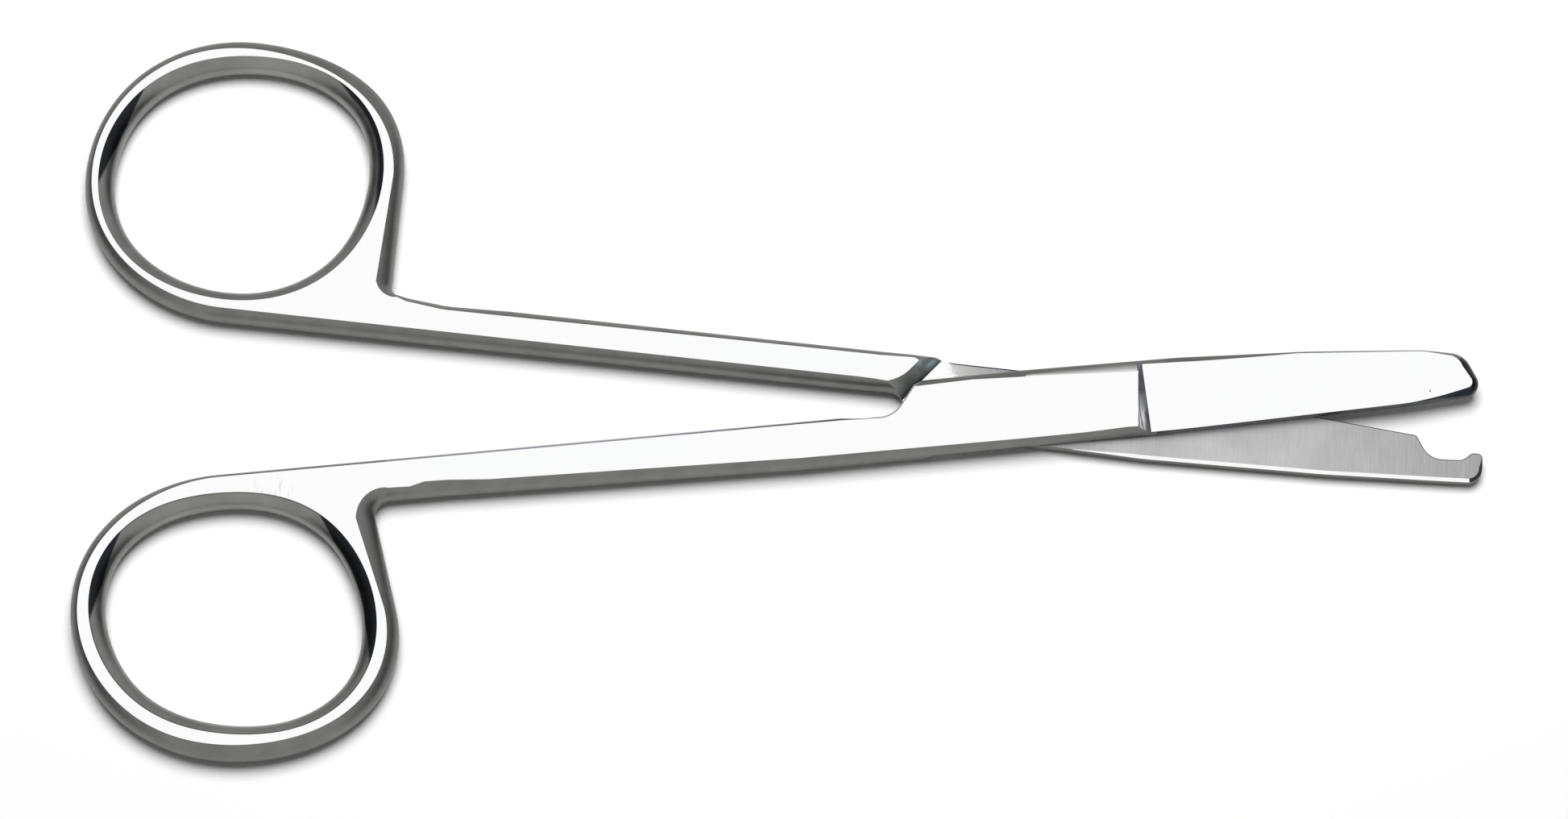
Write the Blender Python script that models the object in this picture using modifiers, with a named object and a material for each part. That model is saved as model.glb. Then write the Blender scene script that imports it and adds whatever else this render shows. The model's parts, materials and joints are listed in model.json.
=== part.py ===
"""Suture scissors, all steel, lying flat and a little open.

Two forged halves cross at a countersunk screw.  The front half lies on top at the joint and
carries the plain blade with the blunt, rounded tip.  The back half is turned over below it and
carries the blade with the hook that lifts a stitch.

Each half is drawn closed in its own frame: the pivot is the origin, +X runs to the tip, Z = 0 is
the plane where the halves meet and +Z is the half's outer face.  Its finger ring lies at -Y.
"""

import math
from dataclasses import dataclass, replace

import bmesh
import bpy
import numpy as np

# Forging, lap and rest position (metres and degrees)
THICKNESS = 0.0026            # full thickness of rings and shanks
LAP_GAP = 0.0002              # running gap between the two lapped plates
REST_OPENING = 11.0           # angle between the halves as they lie
FLANK_START = 30.0            # slope where a flat face turns into its rounded flank
FLANK_LAND = 0.00015          # half height of the upright land in the middle of a flank

# Pivot screw
SHAFT_RADIUS = 0.00105
SHAFT_CLEARANCE = 0.00007
HEAD_RADIUS = 0.0018
HEAD_DEPTH = 0.0006           # height of the head's cone
HEAD_RIM = 0.0001             # upright rim above the cone
HEAD_SINK = 0.00006
SCREW_GRIP = 0.00085          # how far the screw reaches into the front half
SCREW_POINT = 0.00015         # chamfer at the screw's end
SCREW_HOLE_SPARE = 0.00012    # room left beyond the screw's end
SLOT_WIDTH = 0.0005
SLOT_DEPTH = 0.00032

# Joint plates
PLATE_INNER = 0.0029          # pivot to the plate's edge on the spine side
PLATE_OUTER = 0.00326         # pivot to the plate's edge on the cutting side
FRONT_PLATE_BACK = 0.00895    # pivot back to the corner where the crotch wall begins
BACK_PLATE_BACK = 0.0083
CROTCH_ANGLE = 52.0           # slope of the crotch wall and of the shoulder beside it
NEST_GAP = 0.00025            # gap along X between a crotch wall and the other half's shoulder
SHOULDER_WIDTH = 0.00099      # how wide a shoulder slopes, square across, in half the thickness
SHOULDER_BEND = 0.0034        # radius where the shoulder sweeps into the shank's flank
SHOULDER_EXIT = 5.0           # angle at which it leaves that flank
SHOULDER_MARGIN = 0.85        # how much of the flank's width the sweep takes up
UNDERCUT = 0.0011             # how far the front plate's crotch wall leans over the back shoulder

# Step between plate and blade, on the outer face
STEP_BACK = 0.00877           # pivot to the middle of the step's upper edge
STEP_SKEW = 0.123             # lean of the step's upper edge, along X for each unit of Y
STEP_SLOPE = 25.0
BLADE_FALL_SPINE = 0.00013    # how far the blade's face lies below the plate's at the spine
BLADE_FALL_EDGE = 0.00053     # and at the cutting edge
BLADE_RISE = 0.007            # how fast that fall is made up towards the tip

# Front half
FRONT_TIP = 0.0369            # pivot to the blunt tip
FRONT_TIP_RADIUS = 0.0011
FRONT_SHANK_INNER = 0.00045   # height of the shank's inner edge at the crotch
FRONT_SHANK_OUTER = 0.0034
FRONT_NECK_OUTER = 0.00288    # the same edge where the shank meets the ring
FRONT_NECK_BACK = 0.0536      # pivot back to the corner between ring and shank
FRONT_RING_BACK = 0.06523     # pivot back to the ring's centre
FRONT_RING_SIDE = 0.01152     # and sideways to it
FRONT_HOLE_RADIUS = 0.01085   # inner edge of the ring's flat face
FRONT_RING_BAND = 0.00083     # width of that flat face
FRONT_FLANK = 0.00048         # width of the shank's rounded flank

# Back half
BACK_TIP = 0.03675
BACK_TIP_RADIUS = 0.0013
BACK_SHANK_INNER = -0.00033
BACK_SHANK_OUTER = 0.00356
BACK_NECK_OUTER = 0.0048
BACK_NECK_BACK = 0.05275
BACK_RING_BACK = 0.06615
BACK_RING_SIDE = 0.01361
BACK_HOLE_RADIUS = 0.01139
BACK_RING_BAND = 0.00059
BACK_FLANK = 0.00078
HOOK_MOUTH = 0.0054           # length of the blade taken up by the hook
HOOK_DEPTH = 0.0019           # cutting edge to the floor of the notch
NUB_HEIGHT = 0.0008           # notch floor to the top of the hook's nub
EDGE_HEEL = 0.0029            # pivot to the cutting edge, square across, at the step
EDGE_AT_HOOK = 0.00073        # the same at the hook
LAP_BREAK = 0.0003            # polished rounding along the spine's inner edge
BLADE_UPRIGHT = 0.6           # share of the half thickness below the rounding of a blade's edge
PLATE_UPRIGHT = 0.2           # the same at a plate's corners and at the blunt tip
CROTCH_BLEND = 0.5            # how far the section has turned from grip to plate at the crotch

# Finger rings: flank widths every 45 degrees, anticlockwise from the tip's side
FRONT_RING_FLANKS = (0.00087, 0.0012, 0.00048, 0.0008, 0.00067, 0.00085, 0.001, 0.00088)
BACK_RING_FLANKS = (0.00074, 0.0012, 0.00072, 0.00075, 0.00067, 0.00085, 0.001, 0.00122)
HOLE_FLANK = 0.00097
NECK_RADIUS = 0.0009
NECK_FLANK = 0.0012

HALF = THICKNESS / 2
LAP = LAP_GAP / 2
RING_STEP = 4.0               # degrees between sections round a ring
BEND_STEP = 14.0              # degrees between sections round a corner
RUN_STEP = 0.009              # longest stretch between sections
CUTTER_REACH = 0.02


@dataclass
class Knot:
    """A corner of an outline, with what the section is like there."""

    x: float
    y: float
    radius: float = 0.0       # fillet at the corner
    flank: float = 0.0003     # width of the rounded flank beside the flat face
    exit_flank: float = 0.0   # its width where the fillet ends, if that differs
    upright: float = 0.0      # share of the half thickness that stands upright below the flank
    plate: float = 0.0        # 0 for a grip section, 1 for a lapped plate or blade
    lap_break: float = 0.0    # width of the rounding at the lap face
    undercut: float = 0.0     # how far the wall leans back, square to the crotch, at the lap


@dataclass
class RingShape:
    """Slightly oval, slightly squared ring outline in polar form about its centre."""

    x: float
    y: float
    radius: float
    oval: tuple
    egg: tuple
    square: tuple
    flank: object

    def edge(self, angle):
        wave = (
            self.oval[0] * math.cos(2 * (angle - math.radians(self.oval[1])))
            + self.egg[0] * math.cos(3 * (angle - math.radians(self.egg[1])))
            + self.square[0] * math.cos(4 * (angle - math.radians(self.square[1])))
        )
        return self.radius + wave + self.flank(angle)

    def point(self, angle):
        reach = self.edge(angle)
        return self.x + reach * math.cos(angle), self.y + reach * math.sin(angle)

    def tangent_from(self, x, y, low, high):
        """Angle between low and high where the line to (x, y) only touches the ring."""

        def side(angle):
            here = self.point(angle)
            ahead = self.point(angle + 1e-4)
            along = (ahead[0] - here[0], ahead[1] - here[1])
            return along[0] * (y - here[1]) - along[1] * (x - here[0])

        for _ in range(40):
            middle = (low + high) / 2
            if side(low) * side(middle) <= 0:
                high = middle
            else:
                low = middle
        return (low + high) / 2


def flank_round(widths):
    """Flank width at any angle, eased between widths given at equal steps round the ring."""
    count = len(widths)

    def at(angle):
        turn = angle / (2 * math.pi) * count
        first = math.floor(turn)
        ease = (1 - math.cos(math.pi * (turn - first))) / 2
        return widths[first % count] * (1 - ease) + widths[(first + 1) % count] * ease

    return at


def rounded(knots):
    """Closed outline through the knots, each corner replaced by its fillet arc."""
    outline = []
    count = len(knots)
    for index, knot in enumerate(knots):
        here = np.array((knot.x, knot.y))
        before = np.array((knots[index - 1].x, knots[index - 1].y)) - here
        after = knots[(index + 1) % count]
        after = np.array((after.x, after.y)) - here
        reach = min(np.linalg.norm(before), np.linalg.norm(after))
        before = before / np.linalg.norm(before)
        after = after / np.linalg.norm(after)
        turn = math.pi - math.acos(max(-1.0, min(1.0, float(before @ after))))
        if knot.radius <= 0 or turn < 1e-4:
            outline.append(knot)
            continue
        length = min(knot.radius * math.tan(turn / 2), 0.48 * reach)
        radius = length / math.tan(turn / 2)
        middle = before + after
        centre = here + middle / np.linalg.norm(middle) * math.hypot(radius, length)
        start = here + before * length - centre
        end = here + after * length - centre
        steps = max(2, math.ceil(math.degrees(turn) / BEND_STEP))
        for step in range(steps + 1):
            share = step / steps
            arm = (math.sin((1 - share) * turn) * start + math.sin(share * turn) * end) / math.sin(turn)
            flank = knot.flank + ((knot.exit_flank or knot.flank) - knot.flank) * share
            outline.append(replace(knot, x=centre[0] + arm[0], y=centre[1] + arm[1], flank=flank))
    return outline


def divided(outline):
    """The outline with long straight stretches split, sections blending along them."""
    stations = []
    for index, knot in enumerate(outline):
        after = outline[(index + 1) % len(outline)]
        steps = max(1, math.ceil(math.hypot(after.x - knot.x, after.y - knot.y) / RUN_STEP))
        for step in range(steps):
            share = step / steps
            values = {
                name: getattr(knot, name) * (1 - share) + getattr(after, name) * share
                for name in knot.__dataclass_fields__
            }
            stations.append(Knot(**values))
    return stations


def section(knot):
    """Eight (inset, height) levels of one section, from the outer face down to the inner one."""
    start = math.radians(FLANK_START)
    levels = []
    for share in (0.0, 0.3, 0.62, 1.0):
        angle = start + share * (math.pi / 2 - start)
        inset = knot.flank * (1 - math.sin(angle)) / (1 - math.sin(start))
        drop = (math.cos(start) - math.cos(angle)) / math.cos(start)
        levels.append((inset, HALF - (HALF - FLANK_LAND) * (1 - knot.upright) * drop))
    grip = [(inset, -height) for inset, height in reversed(levels)]
    lap_wall = [
        (0.0, LAP + 0.45 * knot.lap_break),
        (knot.lap_break, LAP - 0.02 * HALF),
        (knot.lap_break, -0.5 * HALF),
        (knot.lap_break, -HALF),
    ]
    for round_side, lap_side in zip(grip, lap_wall):
        levels.append(tuple(
            a * (1 - knot.plate) + b * knot.plate for a, b in zip(round_side, lap_side)
        ))
    return levels


def inward(stations):
    """Mitred unit offsets into the metal, which lies on the left of the outline."""
    points = np.array([(knot.x, knot.y) for knot in stations])
    ahead = np.roll(points, -1, axis=0) - points
    ahead /= np.linalg.norm(ahead, axis=1)[:, None]
    normal = np.stack((-ahead[:, 1], ahead[:, 0]), axis=1)
    mitre = normal + np.roll(normal, 1, axis=0)
    mitre /= np.linalg.norm(mitre, axis=1)[:, None]
    return mitre / np.maximum(0.6, np.sum(mitre * normal, axis=1))[:, None]


def loft_half(name, outline, hole):
    """Solid lofted down the outline's changing section, with the finger hole through it."""
    work = bmesh.new()
    crotch = math.radians(CROTCH_ANGLE)
    rims = ([], [])
    for stations in (outline, hole):
        offsets = inward(stations)
        rows = []
        for knot, offset in zip(stations, offsets):
            column = []
            for inset, height in section(knot):
                lean = knot.undercut * (1 - max(0.0, height) / HALF)
                column.append(work.verts.new((
                    knot.x + inset * offset[0] + lean * math.sin(crotch),
                    knot.y + inset * offset[1] - lean * math.cos(crotch),
                    height,
                )))
            rows.append(column)
        for index, column in enumerate(rows):
            after = rows[(index + 1) % len(rows)]
            for level in range(len(column) - 1):
                work.faces.new((
                    column[level], column[level + 1], after[level + 1], after[level],
                ))
            for rim, level in zip(rims, (0, -1)):
                rim.append(work.edges.get((column[level], after[level])))
    for rim in rims:
        bmesh.ops.triangle_fill(work, edges=rim, use_beauty=True)
    bmesh.ops.recalc_face_normals(work, faces=work.faces)
    mesh = bpy.data.meshes.new(name)
    work.to_mesh(mesh)
    work.free()
    return bpy.data.objects.new(name, mesh)


def prism(name, lower, upper):
    """Solid between two outlines with the same number of (x, y, z) corners."""
    work = bmesh.new()
    loops = [[work.verts.new(corner) for corner in loop] for loop in (lower, upper)]
    for loop in loops:
        work.faces.new(loop)
    for index in range(len(lower)):
        after = (index + 1) % len(lower)
        work.faces.new((loops[0][index], loops[0][after], loops[1][after], loops[1][index]))
    bmesh.ops.recalc_face_normals(work, faces=work.faces)
    mesh = bpy.data.meshes.new(name)
    work.to_mesh(mesh)
    work.free()
    return bpy.data.objects.new(name, mesh)


def shoulder_cutter(name, line_x, shank_inner, flank):
    """Takes away the inner half of the thickness, from a sweeping edge down to a straight foot."""
    steep = math.radians(CROTCH_ANGLE)
    shallow = math.radians(SHOULDER_EXIT)
    corner_y = shank_inner - SHOULDER_MARGIN * flank
    corner_x = line_x - (corner_y + PLATE_INNER) / math.tan(steep)
    first = math.pi / 2 - shallow
    last = math.pi / 2 - steep
    middle = (first + last) / 2
    reach = SHOULDER_BEND / math.cos((first - last) / 2)
    centre = np.array((corner_x - reach * math.cos(middle), corner_y - reach * math.sin(middle)))
    steps = 2 * math.ceil(math.degrees(first - last) / BEND_STEP)
    exit_runs = CUTTER_REACH * np.array((0.4, 0.2, 0.1, 0.05))
    turns = np.concatenate((np.full(len(exit_runs), first), np.linspace(first, last, steps + 1), (last,)))
    along = np.concatenate((exit_runs, np.zeros(steps + 1), (-CUTTER_REACH,)))
    normals = np.column_stack((np.cos(turns), np.sin(turns)))
    sides = np.column_stack((-np.sin(turns), np.cos(turns)))
    arms = SHOULDER_BEND * normals + along[:, None] * sides
    square = np.array((math.cos(last), math.sin(last)))
    foot_reach = SHOULDER_BEND + SHOULDER_WIDTH * (HALF + LAP) / HALF
    slopes = (foot_reach - arms @ square) / (normals @ square)
    far_x = FRONT_TIP + CUTTER_REACH

    def loop(height):
        share = (height + HALF) / (HALF + LAP)
        edge = centre + arms + (share * slopes)[:, None] * normals
        corners = ((far_x, -CUTTER_REACH), (far_x, CUTTER_REACH), (edge[0, 0], CUTTER_REACH))
        return [(x, y, height) for x, y in (*corners, *edge)]

    return prism(name, loop(-1.2 * HALF), loop(LAP))


def step_cutter(name):
    """Lowers the blade's outer face behind the sloping step, more towards the cutting edge."""
    slope = math.tan(math.radians(STEP_SLOPE))
    fall_y = (BLADE_FALL_SPINE - BLADE_FALL_EDGE) / (PLATE_INNER + PLATE_OUTER)
    far_x = FRONT_TIP + CUTTER_REACH

    def profile(y):
        step_x = STEP_BACK + STEP_SKEW * y
        fall = BLADE_FALL_SPINE + fall_y * (y - PLATE_INNER)
        foot_x = (fall + slope * step_x + BLADE_RISE * STEP_BACK) / (slope + BLADE_RISE)
        foot = HALF - slope * (foot_x - step_x)
        far = HALF - fall + BLADE_RISE * (far_x - STEP_BACK)
        top = 2 * HALF
        return [
            (step_x - (top - HALF) / slope, y, top),
            (foot_x, y, foot),
            (far_x, y, far),
            (far_x, y, top),
        ]

    return prism(name, profile(-CUTTER_REACH / 2), profile(CUTTER_REACH / 2))


def turned(name, profile, segments):
    """Solid of revolution about Z from (radius, height) pairs that start and end on the axis."""
    mesh = bpy.data.meshes.new(name)
    mesh.from_pydata([(radius, 0.0, height) for radius, height in profile], [
        (index, index + 1) for index in range(len(profile) - 1)
    ], [])
    item = bpy.data.objects.new(name, mesh)
    screw = item.modifiers.new("turn", "SCREW")
    screw.steps = segments
    screw.render_steps = segments
    screw.use_merge_vertices = True
    screw.merge_threshold = 0.00001
    return item


def front_outline():
    """Blunt blade, plate, shank and ring of the front half, anticlockwise from the tip."""
    blade = {"plate": 1.0, "upright": BLADE_UPRIGHT}
    plate = {"plate": 1.0, "upright": PLATE_UPRIGHT}
    wall_x = (PLATE_INNER - FRONT_SHANK_INNER) / math.tan(math.radians(CROTCH_ANGLE))
    crotch = (-FRONT_PLATE_BACK - wall_x, FRONT_SHANK_INNER)
    corner = (-FRONT_NECK_BACK, -FRONT_NECK_OUTER)
    ring = RingShape(
        -FRONT_RING_BACK, -FRONT_RING_SIDE, FRONT_HOLE_RADIUS + FRONT_RING_BAND,
        (0.00075, -27.4), (0.00027, -35.3), (0.00016, -25.0), flank_round(FRONT_RING_FLANKS),
    )
    leave = ring.tangent_from(*crotch, math.radians(50), math.radians(130))
    meet = ring.tangent_from(*corner, math.radians(330), math.radians(400))
    knots = [
        Knot(FRONT_TIP - 0.0013, 0.00105, 0.0014, 0.0007, **plate),
        Knot(FRONT_TIP - 0.005, 0.00164, 0.02, 0.0003, **blade),
        Knot(0.0228, 0.0024, 0.05, 0.0004, **blade),
        Knot(0.0124, PLATE_INNER, 0.05, 0.0011, **blade),
        Knot(0.0, PLATE_INNER + 0.0001, 0.05, 0.0007, **blade),
        Knot(-0.0045, PLATE_INNER + 0.00005, 0.05, 0.00045, **blade),
        Knot(-FRONT_PLATE_BACK, PLATE_INNER, 0.00045, 0.0003, undercut=UNDERCUT, **plate),
        Knot(*crotch, 0.0018, 0.0003, plate=CROTCH_BLEND, undercut=UNDERCUT),
        Knot(crotch[0] - 0.004, crotch[1], 0.0, FRONT_FLANK),
    ]
    knots += ring_knots(ring, leave, meet)
    knots += [
        Knot(*corner, NECK_RADIUS, NECK_FLANK, NECK_FLANK * 0.52),
        Knot(corner[0] + 0.0016, corner[1], 0.0, NECK_FLANK * 0.45),
        Knot(corner[0] + 0.0032, corner[1], 0.0, NECK_FLANK * 0.47),
        Knot(corner[0] + 0.0044, corner[1], 0.0, NECK_FLANK * 0.73),
        Knot(corner[0] + 0.0062, corner[1], 0.0, NECK_FLANK * 0.7),
        Knot(corner[0] + 0.0096, corner[1] - 0.00008, 0.01, FRONT_FLANK * 1.35),
        Knot(-0.0185, -FRONT_SHANK_OUTER, 0.05, FRONT_FLANK),
        Knot(-0.001, -PLATE_OUTER, 0.05, 0.0003, plate=1.0),
        Knot(STEP_BACK, -PLATE_OUTER - 0.00004, 0.05, 0.0004, **plate),
        Knot(0.0143, -PLATE_OUTER + 0.00008, 0.05, 0.0002, **blade),
        Knot(0.0301, -0.00284, 0.03, 0.0003, **blade),
        Knot(FRONT_TIP, -0.00242, FRONT_TIP_RADIUS, 0.00095, **plate),
    ]
    return knots


def back_outline():
    """Hooked blade, plate, shank and ring of the back half, anticlockwise from the hook."""
    blade = {"plate": 1.0, "upright": BLADE_UPRIGHT}
    spine = {**blade, "lap_break": LAP_BREAK}
    plate = {"plate": 1.0, "upright": PLATE_UPRIGHT}
    wall_x = (PLATE_INNER - BACK_SHANK_INNER) / math.tan(math.radians(CROTCH_ANGLE))
    crotch = (-BACK_PLATE_BACK - wall_x, BACK_SHANK_INNER)
    corner = (-BACK_NECK_BACK, -BACK_NECK_OUTER)
    ring = RingShape(
        -BACK_RING_BACK, -BACK_RING_SIDE, BACK_HOLE_RADIUS + BACK_RING_BAND,
        (0.00041, -0.7), (0.00014, -23.5), (0.0001, -24.0), flank_round(BACK_RING_FLANKS),
    )
    leave = ring.tangent_from(*crotch, math.radians(50), math.radians(130))
    meet = ring.tangent_from(*corner, math.radians(330), math.radians(400))
    floor = -EDGE_AT_HOOK + HOOK_DEPTH
    mouth = BACK_TIP - HOOK_MOUTH
    nub = floor - NUB_HEIGHT
    side_x = (floor + EDGE_AT_HOOK) / math.tan(math.radians(60))
    knots = [
        Knot(mouth, -EDGE_AT_HOOK, 0.0004, 0.0002, **blade),
        Knot(mouth + side_x, floor, 0.0017, 0.0002, **blade),
        Knot(BACK_TIP - 0.0014, floor - 0.00018, 0.0005, 0.0002, **blade),
        Knot(BACK_TIP - 0.00072, nub, 0.0003, 0.00015, **blade),
        Knot(BACK_TIP, nub, 0.0005, 0.00015, **blade),
        Knot(BACK_TIP + 0.00003, PLATE_INNER - 0.00008, BACK_TIP_RADIUS, 0.0003, **spine),
        Knot(BACK_TIP - 0.0035, PLATE_INNER + 0.00007, 0.015, 0.0003, **spine),
        Knot(0.024, PLATE_INNER + 0.00039, 0.05, 0.0004, **spine),
        Knot(0.0095, PLATE_INNER + 0.00047, 0.03, 0.001, **spine),
        Knot(0.003, PLATE_INNER + 0.00022, 0.03, 0.0008, **blade),
        Knot(-0.0045, PLATE_INNER + 0.0001, 0.05, 0.00045, **blade),
        Knot(-BACK_PLATE_BACK, PLATE_INNER, 0.00045, 0.0003, **plate),
        Knot(*crotch, 0.0015, 0.0003, plate=CROTCH_BLEND),
        Knot(crotch[0] - 0.004, crotch[1] - 0.00004, 0.0, BACK_FLANK * 0.75),
    ]
    knots += ring_knots(ring, leave, meet)
    knots += [
        Knot(*corner, NECK_RADIUS, NECK_FLANK, NECK_FLANK * 0.38),
        Knot(corner[0] + 0.0016, corner[1] + 0.0003, 0.003, NECK_FLANK * 0.5),
        Knot(corner[0] + 0.0048, corner[1] + 0.00068, 0.01, BACK_FLANK * 0.85),
        Knot(corner[0] + 0.0099, corner[1] + 0.00062, 0.02, BACK_FLANK),
        Knot(-0.0125, -BACK_SHANK_OUTER - 0.00003, 0.05, BACK_FLANK * 0.8),
        Knot(-0.0097, -BACK_SHANK_OUTER, 0.0, BACK_FLANK * 0.7),
        Knot(-0.0086, -BACK_SHANK_OUTER, 0.002, BACK_FLANK * 1.2),
        Knot(-0.0064, -PLATE_OUTER - 0.00008, 0.003, 0.0003, plate=1.0),
        Knot(0.0, -PLATE_OUTER + 0.00004, 0.05, 0.0003, plate=1.0),
        Knot(STEP_BACK, -EDGE_HEEL, 0.01, 0.0004, **plate),
    ]
    return knots


def ring_knots(ring, leave, meet):
    """Knots round the outside of a ring, anticlockwise from one tangent to the other."""
    steps = math.ceil(math.degrees(meet - leave) / RING_STEP)
    knots = []
    for step in range(steps + 1):
        angle = leave + (meet - leave) * step / steps
        knots.append(Knot(*ring.point(angle), flank=ring.flank(angle)))
    return knots


def hole_outline(ring):
    """Finger hole, run clockwise so that the metal lies on the left."""
    steps = round(360 / RING_STEP)
    angles = [-2 * math.pi * step / steps for step in range(steps)]
    return [Knot(*ring.point(angle), flank=HOLE_FLANK) for angle in angles]


def front_hole():
    return hole_outline(RingShape(
        -FRONT_RING_BACK + 0.0002, -FRONT_RING_SIDE, FRONT_HOLE_RADIUS,
        (0.0008, -21.2), (0.00011, -59.7), (0.00016, -38.2), flank_round((-HOLE_FLANK,)),
    ))


def back_hole():
    return hole_outline(RingShape(
        -BACK_RING_BACK, -BACK_RING_SIDE, BACK_HOLE_RADIUS,
        (0.00042, -6.8), (0.00011, -46.5), (0.00011, -39.2), flank_round((-HOLE_FLANK,)),
    ))


def fresh_collection(name):
    old = bpy.data.collections.get(name)
    if old:
        bpy.data.collections.remove(old)
    collection = bpy.data.collections.new(name)
    bpy.context.scene.collection.children.link(collection)
    return collection


def steel(name, colour, roughness):
    material = bpy.data.materials.get(name) or bpy.data.materials.new(name)
    material.use_nodes = True
    shader = material.node_tree.nodes["Principled BSDF"]
    shader.inputs["Base Color"].default_value = (*colour, 1.0)
    shader.inputs["Metallic"].default_value = 1.0
    shader.inputs["Roughness"].default_value = roughness
    return material


def cut(item, cutter):
    """Subtract the cutter, which stays in the cutters' collection as a wire guide."""
    boolean = item.modifiers.new(cutter.name, "BOOLEAN")
    boolean.operation = "DIFFERENCE"
    boolean.solver = "EXACT"
    boolean.object = cutter
    cutter.display_type = "WIRE"
    cutter.hide_render = True


def shade(item):
    item.data.shade_smooth()
    item.data.set_sharp_from_angle(angle=math.radians(32))


def screw_seat(name, head_height, bore_depth, clearance):
    """Cutter for the screw: a bore up from the lap and, past it, the cone for the head."""
    bore = SHAFT_RADIUS + clearance
    if head_height is None:
        profile = [(0.0, bore_depth), (bore, bore_depth), (bore, -HALF), (0.0, -HALF)]
    else:
        mouth = HEAD_RADIUS + clearance
        profile = [
            (0.0, head_height + HALF),
            (mouth, head_height + HALF),
            (mouth, head_height - HEAD_SINK - HEAD_RIM),
            (bore, head_height - HEAD_SINK - HEAD_RIM - HEAD_DEPTH),
            (bore, -HALF),
            (0.0, -HALF),
        ]
    return turned(name, profile, 40)


def screw_body(name):
    """Countersunk screw with its head up, as it is driven in from the back half's outer face."""
    head = HALF - HEAD_SINK
    end = -LAP - SCREW_GRIP
    profile = [
        (0.0, head),
        (HEAD_RADIUS, head),
        (HEAD_RADIUS, head - HEAD_RIM),
        (SHAFT_RADIUS, head - HEAD_RIM - HEAD_DEPTH),
        (SHAFT_RADIUS, end + SCREW_POINT),
        (SHAFT_RADIUS - SCREW_POINT, end),
        (0.0, end),
    ]
    return turned(name, profile, 40)


def slot_cutter(name):
    """Straight driver slot across the screw's head."""
    head = HALF - HEAD_SINK
    reach = 1.5 * HEAD_RADIUS
    half = SLOT_WIDTH / 2
    corners = [(-reach, -half), (reach, -half), (reach, half), (-reach, half)]
    return prism(
        name,
        [(x, y, head - SLOT_DEPTH) for x, y in corners],
        [(x, y, head + HALF) for x, y in corners],
    )


def turned_to_world(outline, angle, flipped):
    """Outline points in the world, before the whole is centred on the origin."""
    points = np.array([(knot.x, -knot.y if flipped else knot.y) for knot in outline])
    cosine = math.cos(angle)
    sine = math.sin(angle)
    return points @ np.array(((cosine, sine), (-sine, cosine)))


def main():
    for item in list(bpy.data.objects):
        bpy.data.objects.remove(item)
    parts = fresh_collection("suture_scissors")
    cutters = fresh_collection("cutters")
    polished = steel("polished_steel", (0.86, 0.87, 0.87), 0.16)
    screw_steel = steel("screw_steel", (0.72, 0.73, 0.73), 0.25)

    front_line = divided(rounded(front_outline()))
    back_line = divided(rounded(back_outline()))
    swing = math.radians(REST_OPENING / 2)
    reach = np.vstack((
        turned_to_world(front_line, swing, False),
        turned_to_world(back_line, -swing, True),
    ))
    middle = (reach.max(axis=0) + reach.min(axis=0)) / 2

    pivot = bpy.data.objects.new("pivot_point", None)
    pivot.location = (-middle[0], -middle[1], HALF)
    parts.objects.link(pivot)
    frames = {}
    for side, turn in (
        ("front", (0.0, 0.0, swing)),
        ("screw", (math.pi, 0.0, swing)),
        ("back", (math.pi, 0.0, -swing)),
    ):
        frame = bpy.data.objects.new(side + "_frame", None)
        frame.parent = pivot
        frame.rotation_euler = turn
        parts.objects.link(frame)
        frames[side] = frame

    front = loft_half("front_half", front_line, front_hole())
    back = loft_half("back_half", back_line, back_hole())
    screw = screw_body("pivot_screw")
    slope_x = SHOULDER_WIDTH * (HALF + LAP) / HALF / math.sin(math.radians(CROTCH_ANGLE))
    under_line = -BACK_PLATE_BACK - NEST_GAP - slope_x
    over_line = -FRONT_PLATE_BACK - NEST_GAP
    jobs = (
        (front, "front", polished, (
            shoulder_cutter("front_lap", under_line, FRONT_SHANK_INNER, FRONT_FLANK),
            step_cutter("front_step"),
            screw_seat("front_bore", None, LAP + SCREW_GRIP + SCREW_HOLE_SPARE, SHAFT_CLEARANCE),
        )),
        (back, "back", polished, (
            shoulder_cutter("back_lap", over_line, BACK_SHANK_INNER, BACK_FLANK * 0.75),
            step_cutter("back_step"),
            screw_seat("back_seat", HALF, None, SHAFT_CLEARANCE),
        )),
        (screw, "screw", screw_steel, (slot_cutter("screw_slot"),)),
    )
    for item, side, material, tools in jobs:
        item.data.materials.append(material)
        item.parent = frames[side]
        parts.objects.link(item)
        for tool in tools:
            tool.parent = frames[side]
            cutters.objects.link(tool)
            cut(item, tool)
        shade(item)


main()
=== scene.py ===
import json
import math

import bmesh
import bpy
import numpy as np
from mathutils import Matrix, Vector
from mathutils.geometry import delaunay_2d_cdt


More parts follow.
